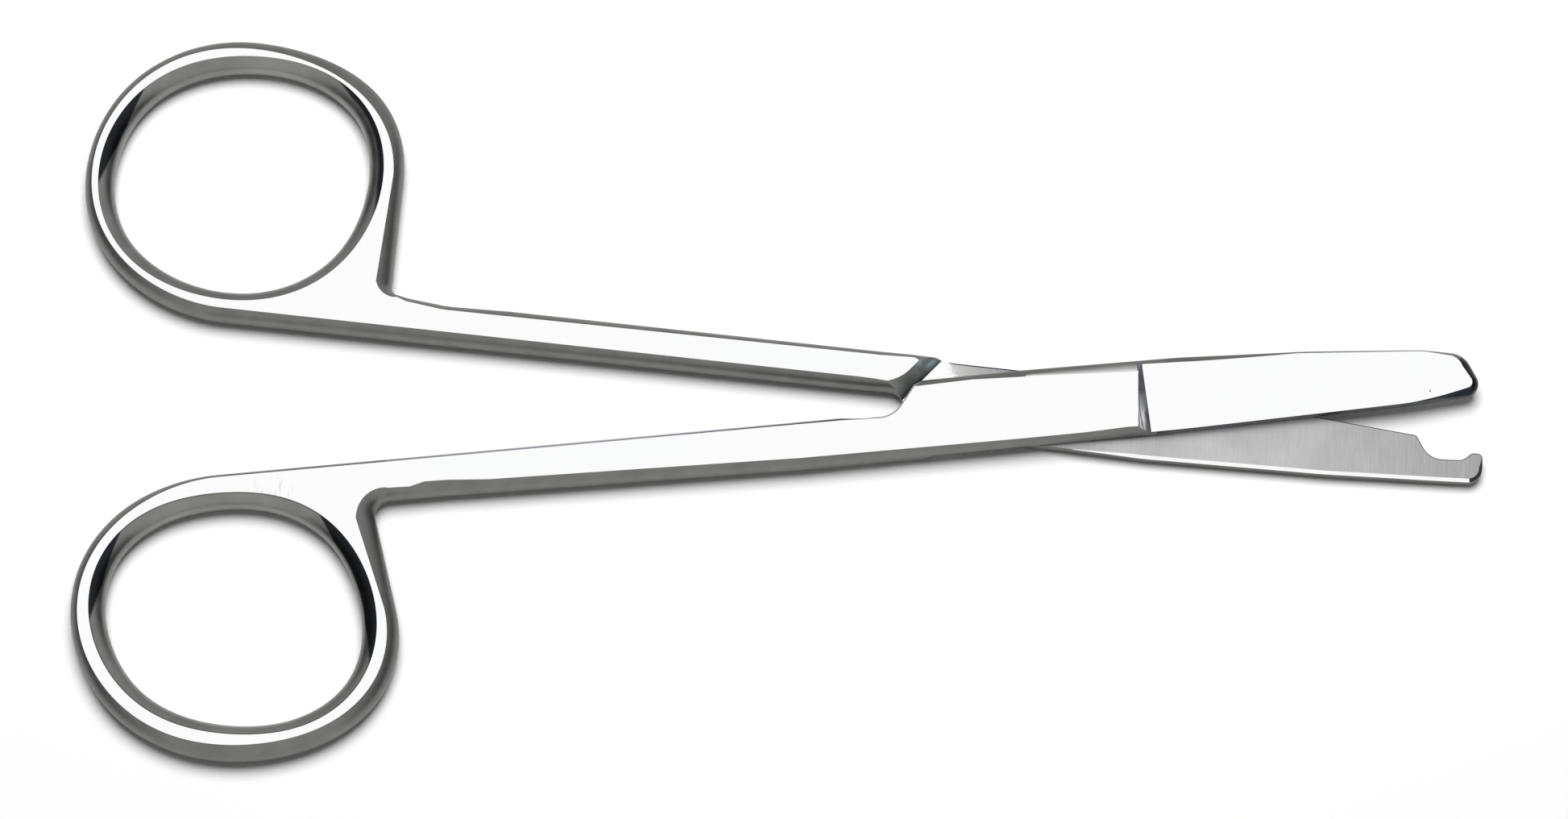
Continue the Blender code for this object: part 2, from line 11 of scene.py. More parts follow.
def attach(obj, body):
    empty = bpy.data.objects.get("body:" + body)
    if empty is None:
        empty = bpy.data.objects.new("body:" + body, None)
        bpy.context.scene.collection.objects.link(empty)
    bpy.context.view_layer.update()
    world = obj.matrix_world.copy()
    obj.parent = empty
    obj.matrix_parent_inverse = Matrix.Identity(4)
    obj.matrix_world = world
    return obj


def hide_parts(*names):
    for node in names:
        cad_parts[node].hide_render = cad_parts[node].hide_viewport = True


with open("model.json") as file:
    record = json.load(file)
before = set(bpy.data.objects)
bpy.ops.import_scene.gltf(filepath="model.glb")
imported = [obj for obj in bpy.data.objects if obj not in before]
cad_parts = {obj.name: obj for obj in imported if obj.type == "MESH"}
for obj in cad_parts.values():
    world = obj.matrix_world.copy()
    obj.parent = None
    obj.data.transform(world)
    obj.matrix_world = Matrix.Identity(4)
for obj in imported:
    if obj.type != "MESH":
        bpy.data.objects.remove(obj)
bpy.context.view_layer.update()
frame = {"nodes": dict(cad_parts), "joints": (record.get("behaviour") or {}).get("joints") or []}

# Stitch scissors lying open on a pale table.  Both halves are drawn again here with finely
# sampled rims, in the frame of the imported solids: pivot at the origin, +X to the tip, Z = 0
# where the halves meet, +Z the half's outer face.  Metres and degrees.

# Forging and lap
THICKNESS = 0.0026
LAP_GAP = 0.0002
REST_OPENING = 11.0
FLANK_START = 30.0            # slope where a flat face turns into its rounded flank
FLANK_LAND = 0.00015          # half height of the upright land in the middle of a flank
BLADE_UPRIGHT = 0.6           # share of a rounding's height that is upright land instead
PLATE_UPRIGHT = 0.2
CROTCH_BLEND = 0.5            # between 0, a grip's section, and 1, a lapped plate's

# Broken edges along the lap: width, and height for each part of the width
EDGE_BREAK = 0.00002
PLATE_BREAK = 0.00012
HOOK_BREAK = 0.00007
SPINE_BREAK = 0.00028
HEEL_BREAK = 0.0009
BREAK_DROP = 0.45

# Pivot
SHAFT_RADIUS = 0.00105
SHAFT_CLEARANCE = 0.00007
HEAD_RADIUS = 0.0018
HEAD_DEPTH = 0.0006
HEAD_RIM = 0.0001
HEAD_SINK = 0.00006
SCREW_GRIP = 0.00085
SCREW_HOLE_SPARE = 0.00012

# Joint plates and the sloping shoulder
PLATE_INNER = 0.0029
PLATE_OUTER = 0.00326
FRONT_PLATE_BACK = 0.00895
PLATE_OVERHANG = 0.0005
BACK_PLATE_BACK = 0.0083
CROTCH_ANGLE = 52.0
NEST_GAP = 0.00025
SHOULDER_WIDTH = 0.00099
SHOULDER_BEND = 0.0034
SHOULDER_EXIT = 5.0
SHOULDER_MARGIN = 0.85

# Undercut of the front half's crotch wall
UNDERCUT = 0.0011
UNDERCUT_SPARE = 1.3          # added for each part of the overhang
UNDERCUT_TOP = 0.00125        # height where the wall begins to fall away
UNDERCUT_BOW = 0.6            # below 1 it falls away fast at first
UNDERCUT_TURN = 0.001         # within this of the plate's edge it runs along that edge instead

# Step between plate and blade
STEP_BACK = 0.00877
STEP_SKEW = 0.123
STEP_SLOPE = 25.0
BLADE_FALL_SPINE = 0.00013
BLADE_FALL_EDGE = 0.00053
BLADE_RISE = 0.007

# Front half
FRONT_TIP = 0.036898
FRONT_TIP_RADIUS = 0.0011
FRONT_SHANK_INNER = 0.00045
FRONT_SHANK_OUTER = 0.0034
FRONT_NECK_OUTER = 0.00288
FRONT_NECK_BACK = 0.0536
FRONT_RING_BACK = 0.06523
FRONT_RING_SIDE = 0.01152
FRONT_HOLE_RADIUS = 0.01085
FRONT_RING_BAND = 0.00083
FRONT_FLANK = 0.00048

# Back half
BACK_TIP = 0.036749
BACK_TIP_RADIUS = 0.0018
BACK_SHANK_INNER = -0.00033
BACK_SHANK_OUTER = 0.00356
BACK_NECK_OUTER = 0.0048
BACK_NECK_BACK = 0.05275
BACK_RING_BACK = 0.06615
BACK_RING_SIDE = 0.01361
BACK_HOLE_RADIUS = 0.01139
BACK_RING_BAND = 0.00059
BACK_FLANK = 0.00078
HOOK_MOUTH = 0.0054
HOOK_DEPTH = 0.0019
HOOK_SIDE = 60.0              # slope of the notch's first side
NUB_HEIGHT = 0.0008
EDGE_HEEL = 0.0029
EDGE_AT_HOOK = 0.00073

# Necks, and flank widths of the rings every 45 degrees, anticlockwise from the tip's side
NECK_RADIUS = 0.0009
NECK_FLANK = 0.0012
FRONT_RING_FLANKS = (0.00087, 0.0012, 0.00048, 0.0008, 0.00067, 0.00085, 0.001, 0.00088)
BACK_RING_FLANKS = (0.00074, 0.0012, 0.00072, 0.00075, 0.00067, 0.00085, 0.001, 0.00122)
HOLE_FLANKS = (0.0013, 0.0011, 0.00097, 0.0011, 0.0012, 0.00105, 0.00097, 0.0011)

HALF = THICKNESS / 2
LAP = LAP_GAP / 2

# How finely the surfaces are sampled
RING_STEP = 1.5               # degrees round a ring
RING_TRIM = 0.00001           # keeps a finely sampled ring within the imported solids' bounds
ARC_STEPS = 11                # samples on a corner's fillet
RUN_STEP = 0.0004             # longest step along a rim
FINE_STEP = 0.0001            # the same beside the shoulder and the step
SHOULDER_FINE = (-0.016, -0.007)
STEP_FINE = (0.0072, 0.0104)
LEVELS = 9                    # samples on the rounding above or below the land
BORE_SIDES = 72
BORE_GRAIN = 0.01             # length round a bore on the grain map
SEAM_REACH = 0.006            # how far a shoulder's seams run on past its bend
SEAM_STEPS = 60
BEND_STEPS = 41
STEP_REACH = 0.0045           # how far the step's seams run to either side
STEP_SAMPLES = 46
SEAM_ROOM = 0.00006           # room that a seam's samples leave to the outline
MITRE_LIMIT = 0.6
FILLET_LIMIT = 0.48           # most of a side that one fillet may take
SHARP_ANGLE = 24.0
WELD = 0.000001
LEVEL = 1e-7                  # heights closer than this count as the same
ROW_SIZE = 9                  # values in a corner's row

# Finishes, in the order of every mesh's material slots
POLISHED, SATIN, BURNISHED, GROUND, MILLED, MIRROR_EDGE, GRADED, STEPPED, DARK, PALE_EDGE = range(10)

# Base tones of the satin flanks, darkened far below the flats' as painted shade
SATIN_SHADE_TONES = ((0.165, 0.17, 0.16), (0.2, 0.2, 0.188))

# Where a rim's finish changes, in the half's own frame
STEP_LEAD = 0.00015           # the step's finish begins this far before its top edge
EDGE_LEAD = 0.0004            # the cutting edge's painted dark reflection begins this far past the foot
TIP_DARK = (0.0014, 0.0012)   # painted dark reflection on the blunt tip: reach back from its end, and side up to which
BRIGHT_END = 0.0009           # the polished spine stops this far before the hook's end
PALE_RUN = (-0.052, -0.009)   # painted sheen along the inner edge of the front shank
PALE_SIDE = -0.0015

# Where a finish changes within itself, on the resting scissors in the world
PIT = (0.0529, -0.00025, 0.00232)
SCUFF = (-0.0406, -0.0091, 0.0026)
RING_X = -0.0436              # centre of the finger holes, and how far to either side
RING_Y = 0.0188
DARK_REFLECTION_DEPTH = 0.0006           # painted dark reflection down the holes' ends
PALE_FROM = -0.032
PALE_TO = -0.012
GRADED_FROM = 0.0185
GRADED_TO = 0.0287

# The same on the grain map
GRAIN = 10                    # units for each metre
RUBBED_SKEW = 0.524
RUBBED_PAST = -0.0531

# Light tent that the steel mirrors, and the lamp overhead
TENT_END = 0.68               # sideways reach at which the tent's dark ends begin
TENT_FAR = 0.55               # the same for its dimmer far side
TENT_BLUR = 0.08
END_GLOW = 0.03
FAR_GLOW = 0.75
ROOM_LIGHT = 0.12
KEY_REACH = 0.45
KEY_LEVEL = 3.7
KEY_SPREAD = 40.0
KEY_LEAN = 17.0
TABLE_REACH = 4.0

# Camera of the photograph: looks down, 20 degrees off the upright, from the near side
VIEW_TILT = 20.0
VIEW_REACH = 0.3657
AIM_BACK = 0.0199
AIM_SIDE = 0.0001
LENS = 103.6
SENSOR = 36.0


def corner(x, y, radius=0.0, flank=0.0003, leave=None,
           upright=0.0, plate=0.0, lap_break=0.0, undercut=0.0):
    """One corner of an outline as a row: place, fillet, flank width before and after it, and the
    section's upright share, blend from grip to plate, broken lap edge and undercut."""
    end = flank if leave is None else leave
    return np.array([[x, y, radius, flank, end, upright, plate, lap_break, undercut]])


def ring_radius(angle, radius, waves):
    """Radius plus cosine waves of order 2, 3 and 4, each with its own height and direction."""
    return radius + sum(
        height * np.cos(order * (angle - math.radians(turn)))
        for order, (height, turn) in zip((2, 3, 4), waves)
    )


def eased_round(widths, angle):
    """Widths given at equal steps round a circle, joined by half cosine waves."""
    widths = np.asarray(widths)
    turn = angle / (2 * math.pi) * len(widths)
    first = np.floor(turn).astype(int)
    ease = (1 - np.cos(math.pi * (turn - first))) / 2
    return widths[first % len(widths)] * (1 - ease) + widths[(first + 1) % len(widths)] * ease


def around(centre, reach, angle):
    """Points at a reach and an angle from a centre."""
    return np.stack((centre[0] + reach * np.cos(angle), centre[1] + reach * np.sin(angle)), axis=-1)


def ring_points(angle, centre, radius, waves, widths):
    """Points of a ring's widest outline: flat edge radius plus the flank's width there."""
    reach = ring_radius(angle, radius, waves) + eased_round(widths, angle) - RING_TRIM
    return around(centre, reach, angle)


def tangent_angle(spot, low, high, ring):
    """Angle between low and high where a line from spot only touches the ring."""
    angle = np.linspace(math.radians(low), math.radians(high), 4001)
    points = ring_points(angle, *ring)
    along = np.gradient(points, axis=0)
    towards = np.asarray(spot) - points
    side = along[:, 0] * towards[:, 1] - along[:, 1] * towards[:, 0]
    return angle[np.nonzero(side[:-1] * side[1:] <= 0)[0][0]]


def round_rows(points, widths):
    """Corner rows without fillets for points round a ring or a hole, and the flank's widths there."""
    rows = np.zeros((len(points), ROW_SIZE))
    rows[:, :2] = points
    rows[:, 3] = rows[:, 4] = widths
    return rows


def ring_rows(crotch, neck, ring):
    """Rows at equal angles round a ring's outside, between its tangents from crotch and neck."""
    start = tangent_angle(crotch, 50, 130, ring)
    end = tangent_angle(neck, 330, 400, ring)
    angle = np.linspace(start, end, math.ceil(math.degrees(end - start) / RING_STEP) + 1)
    return round_rows(ring_points(angle, *ring), eased_round(ring[3], angle))


def trace(rows):
    """Closed path: each corner becomes the arc that touches both its sides, every run short steps."""
    here = rows[:, :2]
    before = np.roll(here, 1, axis=0) - here
    after = np.roll(here, -1, axis=0) - here
    reach = np.minimum(np.linalg.norm(before, axis=1), np.linalg.norm(after, axis=1))
    before /= np.linalg.norm(before, axis=1)[:, None]
    after /= np.linalg.norm(after, axis=1)[:, None]
    turn = math.pi - np.arccos(np.clip(np.sum(before * after, axis=1), -1, 1))
    curved = (rows[:, 2] > 0) & (turn > 1e-4)
    turn = np.where(curved, turn, 1.0)
    length = np.minimum(rows[:, 2] * np.tan(turn / 2), FILLET_LIMIT * reach)
    radius = length / np.tan(turn / 2)
    middle = before + after
    middle /= np.maximum(np.linalg.norm(middle, axis=1), 1e-12)[:, None]
    centre = here + middle * np.hypot(radius, length)[:, None]
    start = here + before * length[:, None] - centre
    end = here + after * length[:, None] - centre
    share = np.linspace(0, 1, ARC_STEPS)
    lead = np.sin((1 - share) * turn[:, None]) / np.sin(turn)[:, None]
    trail = np.sin(share * turn[:, None]) / np.sin(turn)[:, None]
    arcs = centre[:, None] + lead[..., None] * start[:, None] + trail[..., None] * end[:, None]
    table = np.repeat(rows[:, None], ARC_STEPS, axis=1)
    table[..., :2] = np.where(curved[:, None, None], arcs, here[:, None])
    table[..., 3] = rows[:, None, 3] + (rows[:, 4] - rows[:, 3])[:, None] * share
    keep = curved[:, None] | (share == 0)
    path = table[keep]
    for fine in (False, True):
        ahead = np.roll(path, -1, axis=0)
        run = np.linalg.norm(ahead[:, :2] - path[:, :2], axis=1)
        x = path[:, 0]
        at_shoulder = (x > SHOULDER_FINE[0]) & (x < SHOULDER_FINE[1])
        at_step = (x > STEP_FINE[0]) & (x < STEP_FINE[1])
        step = np.where((at_shoulder | at_step) & fine, FINE_STEP, RUN_STEP)
        count = np.maximum(1, np.ceil(run / step)).astype(int)
        index = np.repeat(np.arange(len(path)), count)
        order = np.arange(len(index)) - np.repeat(np.cumsum(count) - count, count)
        blend = (order / count[index])[:, None]
        path = path[index] * (1 - blend) + ahead[index] * blend
    return path


def inward(points):
    """Mitred unit offsets into the metal, which lies on the left of the path."""
    ahead = np.roll(points, -1, axis=0) - points
    ahead /= np.linalg.norm(ahead, axis=1)[:, None]
    normal = np.stack((-ahead[:, 1], ahead[:, 0]), axis=1)
    mitre = normal + np.roll(normal, 1, axis=0)
    mitre /= np.linalg.norm(mitre, axis=1)[:, None]
    return mitre / np.maximum(MITRE_LIMIT, np.sum(mitre * normal, axis=1))[:, None]


def face_height(x, y):
    """Outer face: level on ring, shank and plate, then the sloping step, then the falling blade."""
    slope = math.tan(math.radians(STEP_SLOPE))
    fall_y = (BLADE_FALL_SPINE - BLADE_FALL_EDGE) / (PLATE_INNER + PLATE_OUTER)
    step = HALF - slope * (x - STEP_BACK - STEP_SKEW * y)
    blade = HALF - BLADE_FALL_SPINE - fall_y * (y - PLATE_INNER) + BLADE_RISE * (x - STEP_BACK)
    return np.minimum(HALF, np.maximum(step, blade))


def foot_x(y):
    """X of the step's foot, where its slope meets the blade."""
    slope = math.tan(math.radians(STEP_SLOPE))
    fall_y = (BLADE_FALL_SPINE - BLADE_FALL_EDGE) / (PLATE_INNER + PLATE_OUTER)
    fall = BLADE_FALL_SPINE + fall_y * (y - PLATE_INNER)
    return (fall + slope * (STEP_BACK + STEP_SKEW * y) + BLADE_RISE * STEP_BACK) / (slope + BLADE_RISE)


class Shoulder:
    """Sloping shoulder, ruled from an upper edge that sweeps into the shank down to a straight foot."""

    def __init__(self, line_x, shank_inner, flank):
        steep = math.radians(CROTCH_ANGLE)
        shallow = math.radians(SHOULDER_EXIT)
        corner_y = shank_inner - SHOULDER_MARGIN * flank
        corner_x = line_x - (corner_y + PLATE_INNER) / math.tan(steep)
        self.turns = (math.pi / 2 - steep, math.pi / 2 - shallow)
        middle = sum(self.turns) / 2
        reach = SHOULDER_BEND / math.cos((steep - shallow) / 2)
        self.centre = (corner_x - reach * math.cos(middle), corner_y - reach * math.sin(middle))
        self.foot = SHOULDER_BEND + SHOULDER_WIDTH * (HALF + LAP) / HALF

    def slope(self, turn, along):
        """Length from edge to foot along an edge normal, for a spot that far along the edge."""
        square = turn - self.turns[0]
        return (self.foot - SHOULDER_BEND * np.cos(square) + along * np.sin(square)) / np.cos(square)

    def share(self, x, y):
        """How far down the slope a spot lies: 0 at the upper edge, 1 at the foot."""
        arm_x, arm_y = x - self.centre[0], y - self.centre[1]
        turn = np.clip(np.arctan2(arm_y, arm_x), *self.turns)
        past = arm_x * np.cos(turn) + arm_y * np.sin(turn) - SHOULDER_BEND
        along = arm_y * np.cos(turn) - arm_x * np.sin(turn)
        return past / self.slope(turn, along)

    def height(self, x, y):
        """Inner face: the grip's full depth, the even slope, then the lap plane."""
        return np.clip(-HALF + (HALF + LAP) * self.share(x, y), -HALF, LAP)

    def line(self, share):
        """Points at a share of the slope: steep stretch, round the bend, then along the shank."""
        away = np.linspace(0.0, SEAM_REACH, SEAM_STEPS + 1)[1:]
        bend = np.linspace(*self.turns, BEND_STEPS)
        turn = np.concatenate((np.full(SEAM_STEPS, bend[0]), bend, np.full(SEAM_STEPS, bend[-1])))
        along = np.concatenate((-away[::-1], np.zeros(BEND_STEPS), away))
        radius = SHOULDER_BEND + share * self.slope(turn, along)
        tangent = np.column_stack((-np.sin(turn), np.cos(turn)))
        return around(self.centre, radius, turn) + along[:, None] * tangent


def rim_levels(path):
    """Insets and heights down the rim.  The rounding follows a circle's arc from its first slope
    to upright, stretched to the flank's width and height; below the land comes its mirror, or on
    a lapped plate an upright wall down to a quarter round that breaks the lap edge."""
    start = math.radians(FLANK_START)
    angle = np.linspace(start, math.pi / 2, LEVELS)
    inset = path[:, 3:4] * (1 - np.sin(angle)) / (1 - math.sin(start))
    drop = (math.cos(start) - np.cos(angle)) / math.cos(start)
    height = HALF - (HALF - FLANK_LAND) * (1 - path[:, 5:6]) * drop
    round_off = np.linspace(0, math.pi / 2, LEVELS - 1)
    lap_break = np.maximum(path[:, 7:8], EDGE_BREAK)
    wall = np.concatenate((lap_break * (1 - np.cos(round_off)), lap_break), axis=1)
    fall = np.concatenate((
        LAP + BREAK_DROP * lap_break * (1 - np.sin(round_off)), np.full_like(lap_break, -HALF),
    ), axis=1)
    plate = path[:, 6:7]
    lapped = plate > 0.999
    insets = np.concatenate((inset, np.where(lapped, wall, inset[:, ::-1] * (1 - plate))), axis=1)
    heights = np.concatenate((height, np.where(lapped, fall, -height[:, ::-1])), axis=1)
    return insets, heights


def rim(path, top, bottom):
    """Grid of rim points: each section set out along its mitred offset, leaned back under an
    overhanging wall by a power of its depth, then cut to both faces."""
    insets, heights = rim_levels(path)
    offsets = inward(path[:, :2])
    lean = path[:, 8:9] * np.maximum(0, 1 - np.maximum(0, heights) / UNDERCUT_TOP) ** UNDERCUT_BOW
    steep = math.radians(CROTCH_ANGLE)
    square = np.clip((PLATE_INNER - path[:, 1:2]) / UNDERCUT_TURN, 0, 1)
    grid = np.stack((
        path[:, 0:1] + insets * offsets[:, 0:1]
        + lean * (square * math.sin(steep) + (1 - square) / math.sin(steep)),
        path[:, 1:2] + insets * offsets[:, 1:2] - lean * square * math.cos(steep),
        heights,
    ), axis=-1)
    levels = np.arange(grid.shape[1])
    below = top(grid[..., 0], grid[..., 1]) - grid[..., 2]
    above = grid[..., 2] - bottom(grid[..., 0], grid[..., 1])
    first = crossing(below)
    last = levels[-1] - crossing(above[:, ::-1])
    place = np.clip(levels[None], first[:, None], last[:, None])
    low = np.minimum(place.astype(int), levels[-1] - 1)
    share = (place - low)[..., None]
    rows = np.arange(len(grid))[:, None]
    return grid[rows, low] * (1 - share) + grid[rows, low + 1] * share


def crossing(room):
    """Place along each row, counted from its start, where a value that begins negative turns."""
    found = np.argmax(room >= -1e-9, axis=1)
    rows = np.arange(len(room))
    prior = room[rows, np.maximum(found - 1, 0)]
    here = room[rows, found]
    share = np.where(found > 0, prior / np.where(prior == here, -1, prior - here), 0)
    return np.where(found > 0, found - 1 + share, 0.0)


def inside(points, loop):
    """Even-odd test of points against a closed loop."""
    x, y = points[:, 0:1], points[:, 1:2]
    ax, ay = loop[:, 0], loop[:, 1]
    bx, by = np.roll(ax, -1), np.roll(ay, -1)
    spans = (ay > y) != (by > y)
    slant = np.where(spans, (bx - ax) * (y - ay) / np.where(spans, by - ay, 1) + ax, -1e9)
    return (np.sum(slant > x, axis=1) % 2) == 1


class Shell:
    """Points, faces, finishes and grain coordinates of one forging, gathered patch by patch."""

    def __init__(self):
        self.points = []
        self.grain = []
        self.faces = []
        self.finish = []
        self.smooth = []
        self.count = 0

    def add_points(self, points):
        first = self.count
        self.points.append(points.reshape(-1, 3))
        self.count += len(self.points[-1])
        return first + np.arange(len(self.points[-1]))

    def add_grid(self, grid, grain, finish):
        """Quads between neighbouring rows of a grid whose first direction closes on itself."""
        rows, columns = grid.shape[:2]
        index = self.add_points(grid).reshape(rows, columns)
        ahead = np.roll(index, -1, axis=0)
        quads = np.stack((index[:, :-1], index[:, 1:], ahead[:, 1:], ahead[:, :-1]), axis=-1)
        self.faces += quads.reshape(-1, 4).tolist()
        step = np.array((grain[1, 0, 0] - grain[0, 0, 0], 0))
        self.grain.append(np.stack((
            grain[:, :-1], grain[:, 1:], grain[:, 1:] + step, grain[:, :-1] + step,
        ), axis=2).reshape(-1, 2))
        self.finish.append(np.broadcast_to(finish, (rows, columns - 1)).ravel())
        self.smooth.append(np.ones(rows * (columns - 1), bool))
        return index

    def add_face(self, loops, seams, height, finish, smooth):
        """Triangles that fill loops of known points, folded along seams, at the height function."""
        known = np.concatenate(self.points)
        outline = np.concatenate([known[loop, :2] for loop in loops])
        edges = []
        first = 0
        for loop in loops:
            order = first + np.arange(len(loop))
            edges += np.stack((order, np.roll(order, -1)), axis=1).tolist()
            first += len(loop)
        extra = []
        for seam in seams:
            room = np.min(np.linalg.norm(seam[:, None] - outline[None], axis=2), axis=1)
            kept = inside(seam, known[loops[0], :2]) & (room > SEAM_ROOM)
            order = first + np.cumsum(kept) - 1
            joined = kept[:-1] & kept[1:]
            edges += np.stack((order[:-1][joined], order[1:][joined]), axis=1).tolist()
            extra.append(seam[kept])
            first += int(kept.sum())
        flat = np.concatenate([outline] + extra)
        result = delaunay_2d_cdt((flat * 1000).tolist(), edges, [], 0, LEVEL)
        spots = np.array(result[0]) / 1000
        triangles = np.array(result[2])
        middle = spots[triangles].mean(axis=1)
        kept = inside(middle, known[loops[0], :2])
        for loop in loops[1:]:
            kept &= ~inside(middle, known[loop, :2])
        triangles = triangles[kept]
        middle = middle[kept]
        source = np.array([names[0] if names else -1 for names in result[3]])
        ids = np.concatenate(loops)
        new = (source < 0) | (source >= len(ids))
        fresh = np.column_stack((spots[new], height(spots[new, 0], spots[new, 1])))
        number = np.where(new, 0, ids[np.where(new, 0, source)])
        number[new] = self.add_points(fresh)
        self.faces += number[triangles].tolist()
        self.grain.append(spots[triangles].reshape(-1, 2))
        self.finish.append(finish(middle[:, 0], middle[:, 1]))
        self.smooth.append(smooth(middle[:, 0], middle[:, 1]))

    def build(self, name, angle, turned_over, pivot, materials):
        """The mesh, turned by angle about the upright through the pivot, and turned over if so."""
        points = np.concatenate(self.points)
        if turned_over:
            points = points * (1, -1, -1)
        cosine, sine = math.cos(angle), math.sin(angle)
        x = points[:, 0] * cosine - points[:, 1] * sine + pivot[0]
        y = points[:, 0] * sine + points[:, 1] * cosine + pivot[1]
        points = np.column_stack((x, y, points[:, 2] + pivot[2]))
        mesh = bpy.data.meshes.new(name)
        mesh.from_pydata(points.tolist(), [], self.faces)
        for material in materials:
            mesh.materials.append(material)
        mesh.polygons.foreach_set("material_index", np.concatenate(self.finish).astype(np.int32))
        mesh.polygons.foreach_set("use_smooth", np.concatenate(self.smooth))
        layer = mesh.uv_layers.new(name="grain")
        layer.data.foreach_set("uv", (np.concatenate(self.grain) * GRAIN).astype(np.float32).ravel())
        work = bmesh.new()
        work.from_mesh(mesh)
        bmesh.ops.remove_doubles(work, verts=work.verts, dist=WELD)
        bmesh.ops.dissolve_degenerate(work, edges=work.edges, dist=WELD / 2)
        bmesh.ops.recalc_face_normals(work, faces=work.faces)
        work.to_mesh(mesh)
        work.free()
        rounded = np.empty(len(mesh.polygons), bool)
        mesh.polygons.foreach_get("use_smooth", rounded)
        mesh.set_sharp_from_angle(angle=math.radians(SHARP_ANGLE))
        mesh.polygons.foreach_set("use_smooth", rounded)
        item = bpy.data.objects.new(name, mesh)
        bpy.context.scene.collection.objects.link(item)
        return item


def section_run(grid):
    """Length down each section from its first point."""
    steps = np.linalg.norm(np.diff(grid, axis=1), axis=2)
    return np.concatenate((np.zeros((len(grid), 1)), np.cumsum(steps, axis=1)), axis=1)


def path_run(path):
    """Length along the path from its first point."""
    steps = np.linalg.norm(np.diff(path[:, :2], axis=0), axis=1)
    return np.concatenate(([0], np.cumsum(steps)))


def turned_wall(profile):
    """Bore wall: the profile's radius and height pairs carried round the pivot."""
    angle = -np.linspace(0, 2 * math.pi, BORE_SIDES, endpoint=False)[:, None]
    radius, height = np.array(profile).T
    rise = np.broadcast_to(height, (BORE_SIDES, len(height)))
    return np.concatenate((around((0, 0), radius, angle), rise[..., None]), axis=-1)


def front_rows():
    """Blunt blade, plate, shank and ring of the front half, anticlockwise from the tip."""
    blade = {"plate": 1.0, "upright": BLADE_UPRIGHT}
    plate = {"plate": 1.0, "upright": PLATE_UPRIGHT}
    wall_x = (PLATE_INNER - FRONT_SHANK_INNER) / math.tan(math.radians(CROTCH_ANGLE))
    crotch = (-FRONT_PLATE_BACK - PLATE_OVERHANG - wall_x, FRONT_SHANK_INNER)
    under = {"undercut": UNDERCUT + UNDERCUT_SPARE * PLATE_OVERHANG}
    neck = (-FRONT_NECK_BACK, -FRONT_NECK_OUTER)
    ring = (
        (-FRONT_RING_BACK, -FRONT_RING_SIDE), FRONT_HOLE_RADIUS + FRONT_RING_BAND,
        ((0.00075, -27.4), (0.00027, -35.3), (0.00016, -25.0)), FRONT_RING_FLANKS,
    )
    return np.vstack((
        corner(FRONT_TIP - 0.0013, 0.00112, 0.0018, 0.0012, 0.0006, **plate),
        corner(FRONT_TIP - 0.005, 0.00164, 0.02, 0.0003, **blade),
        corner(0.0228, 0.0024, 0.05, 0.0004, **blade),
        corner(0.0124, PLATE_INNER, 0.05, 0.0012, **blade),
        corner(0.0, PLATE_INNER + 0.0001, 0.05, 0.0007, **blade),
        corner(-0.0045, PLATE_INNER + 0.00005, 0.05, 0.0005, **blade),
        corner(-FRONT_PLATE_BACK - PLATE_OVERHANG, PLATE_INNER, 0.00045, 0.0006, **under, **blade),
        corner(*crotch, 0.0018, 0.0006, plate=CROTCH_BLEND, upright=BLADE_UPRIGHT, **under),
        corner(crotch[0] - 0.004, crotch[1], 0.0, FRONT_FLANK),
        ring_rows(crotch, neck, ring),
        corner(*neck, NECK_RADIUS + 0.0007, NECK_FLANK + 0.0003, NECK_FLANK * 0.52),
        corner(neck[0] + 0.0032, neck[1], 0.0, NECK_FLANK * 0.47),
        corner(neck[0] + 0.0044, neck[1], 0.0, NECK_FLANK * 0.73),
        corner(neck[0] + 0.0062, neck[1], 0.0, NECK_FLANK * 0.7),
        corner(neck[0] + 0.0096, neck[1] - 0.00008, 0.01, FRONT_FLANK * 1.35),
        corner(-0.0185, -FRONT_SHANK_OUTER, 0.05, FRONT_FLANK),
        corner(-0.001, -PLATE_OUTER, 0.05, 0.0003, plate=1.0),
        corner(0.0042, -PLATE_OUTER - 0.00002, 0.0, 0.00035, plate=1.0),
        corner(0.0076, -PLATE_OUTER - 0.00003, 0.0, 0.0005, plate=1.0, upright=0.1,
               lap_break=HEEL_BREAK),
        corner(STEP_BACK + 0.0012, -PLATE_OUTER - 0.00003, 0.0, 0.0004, **plate),
        corner(0.0143, -PLATE_OUTER + 0.00008, 0.05, 0.0002, **blade),
        corner(0.0301, -0.00284, 0.03, 0.0003, **blade),
        corner(FRONT_TIP, -0.00242, FRONT_TIP_RADIUS, 0.0012, **plate),
    ))


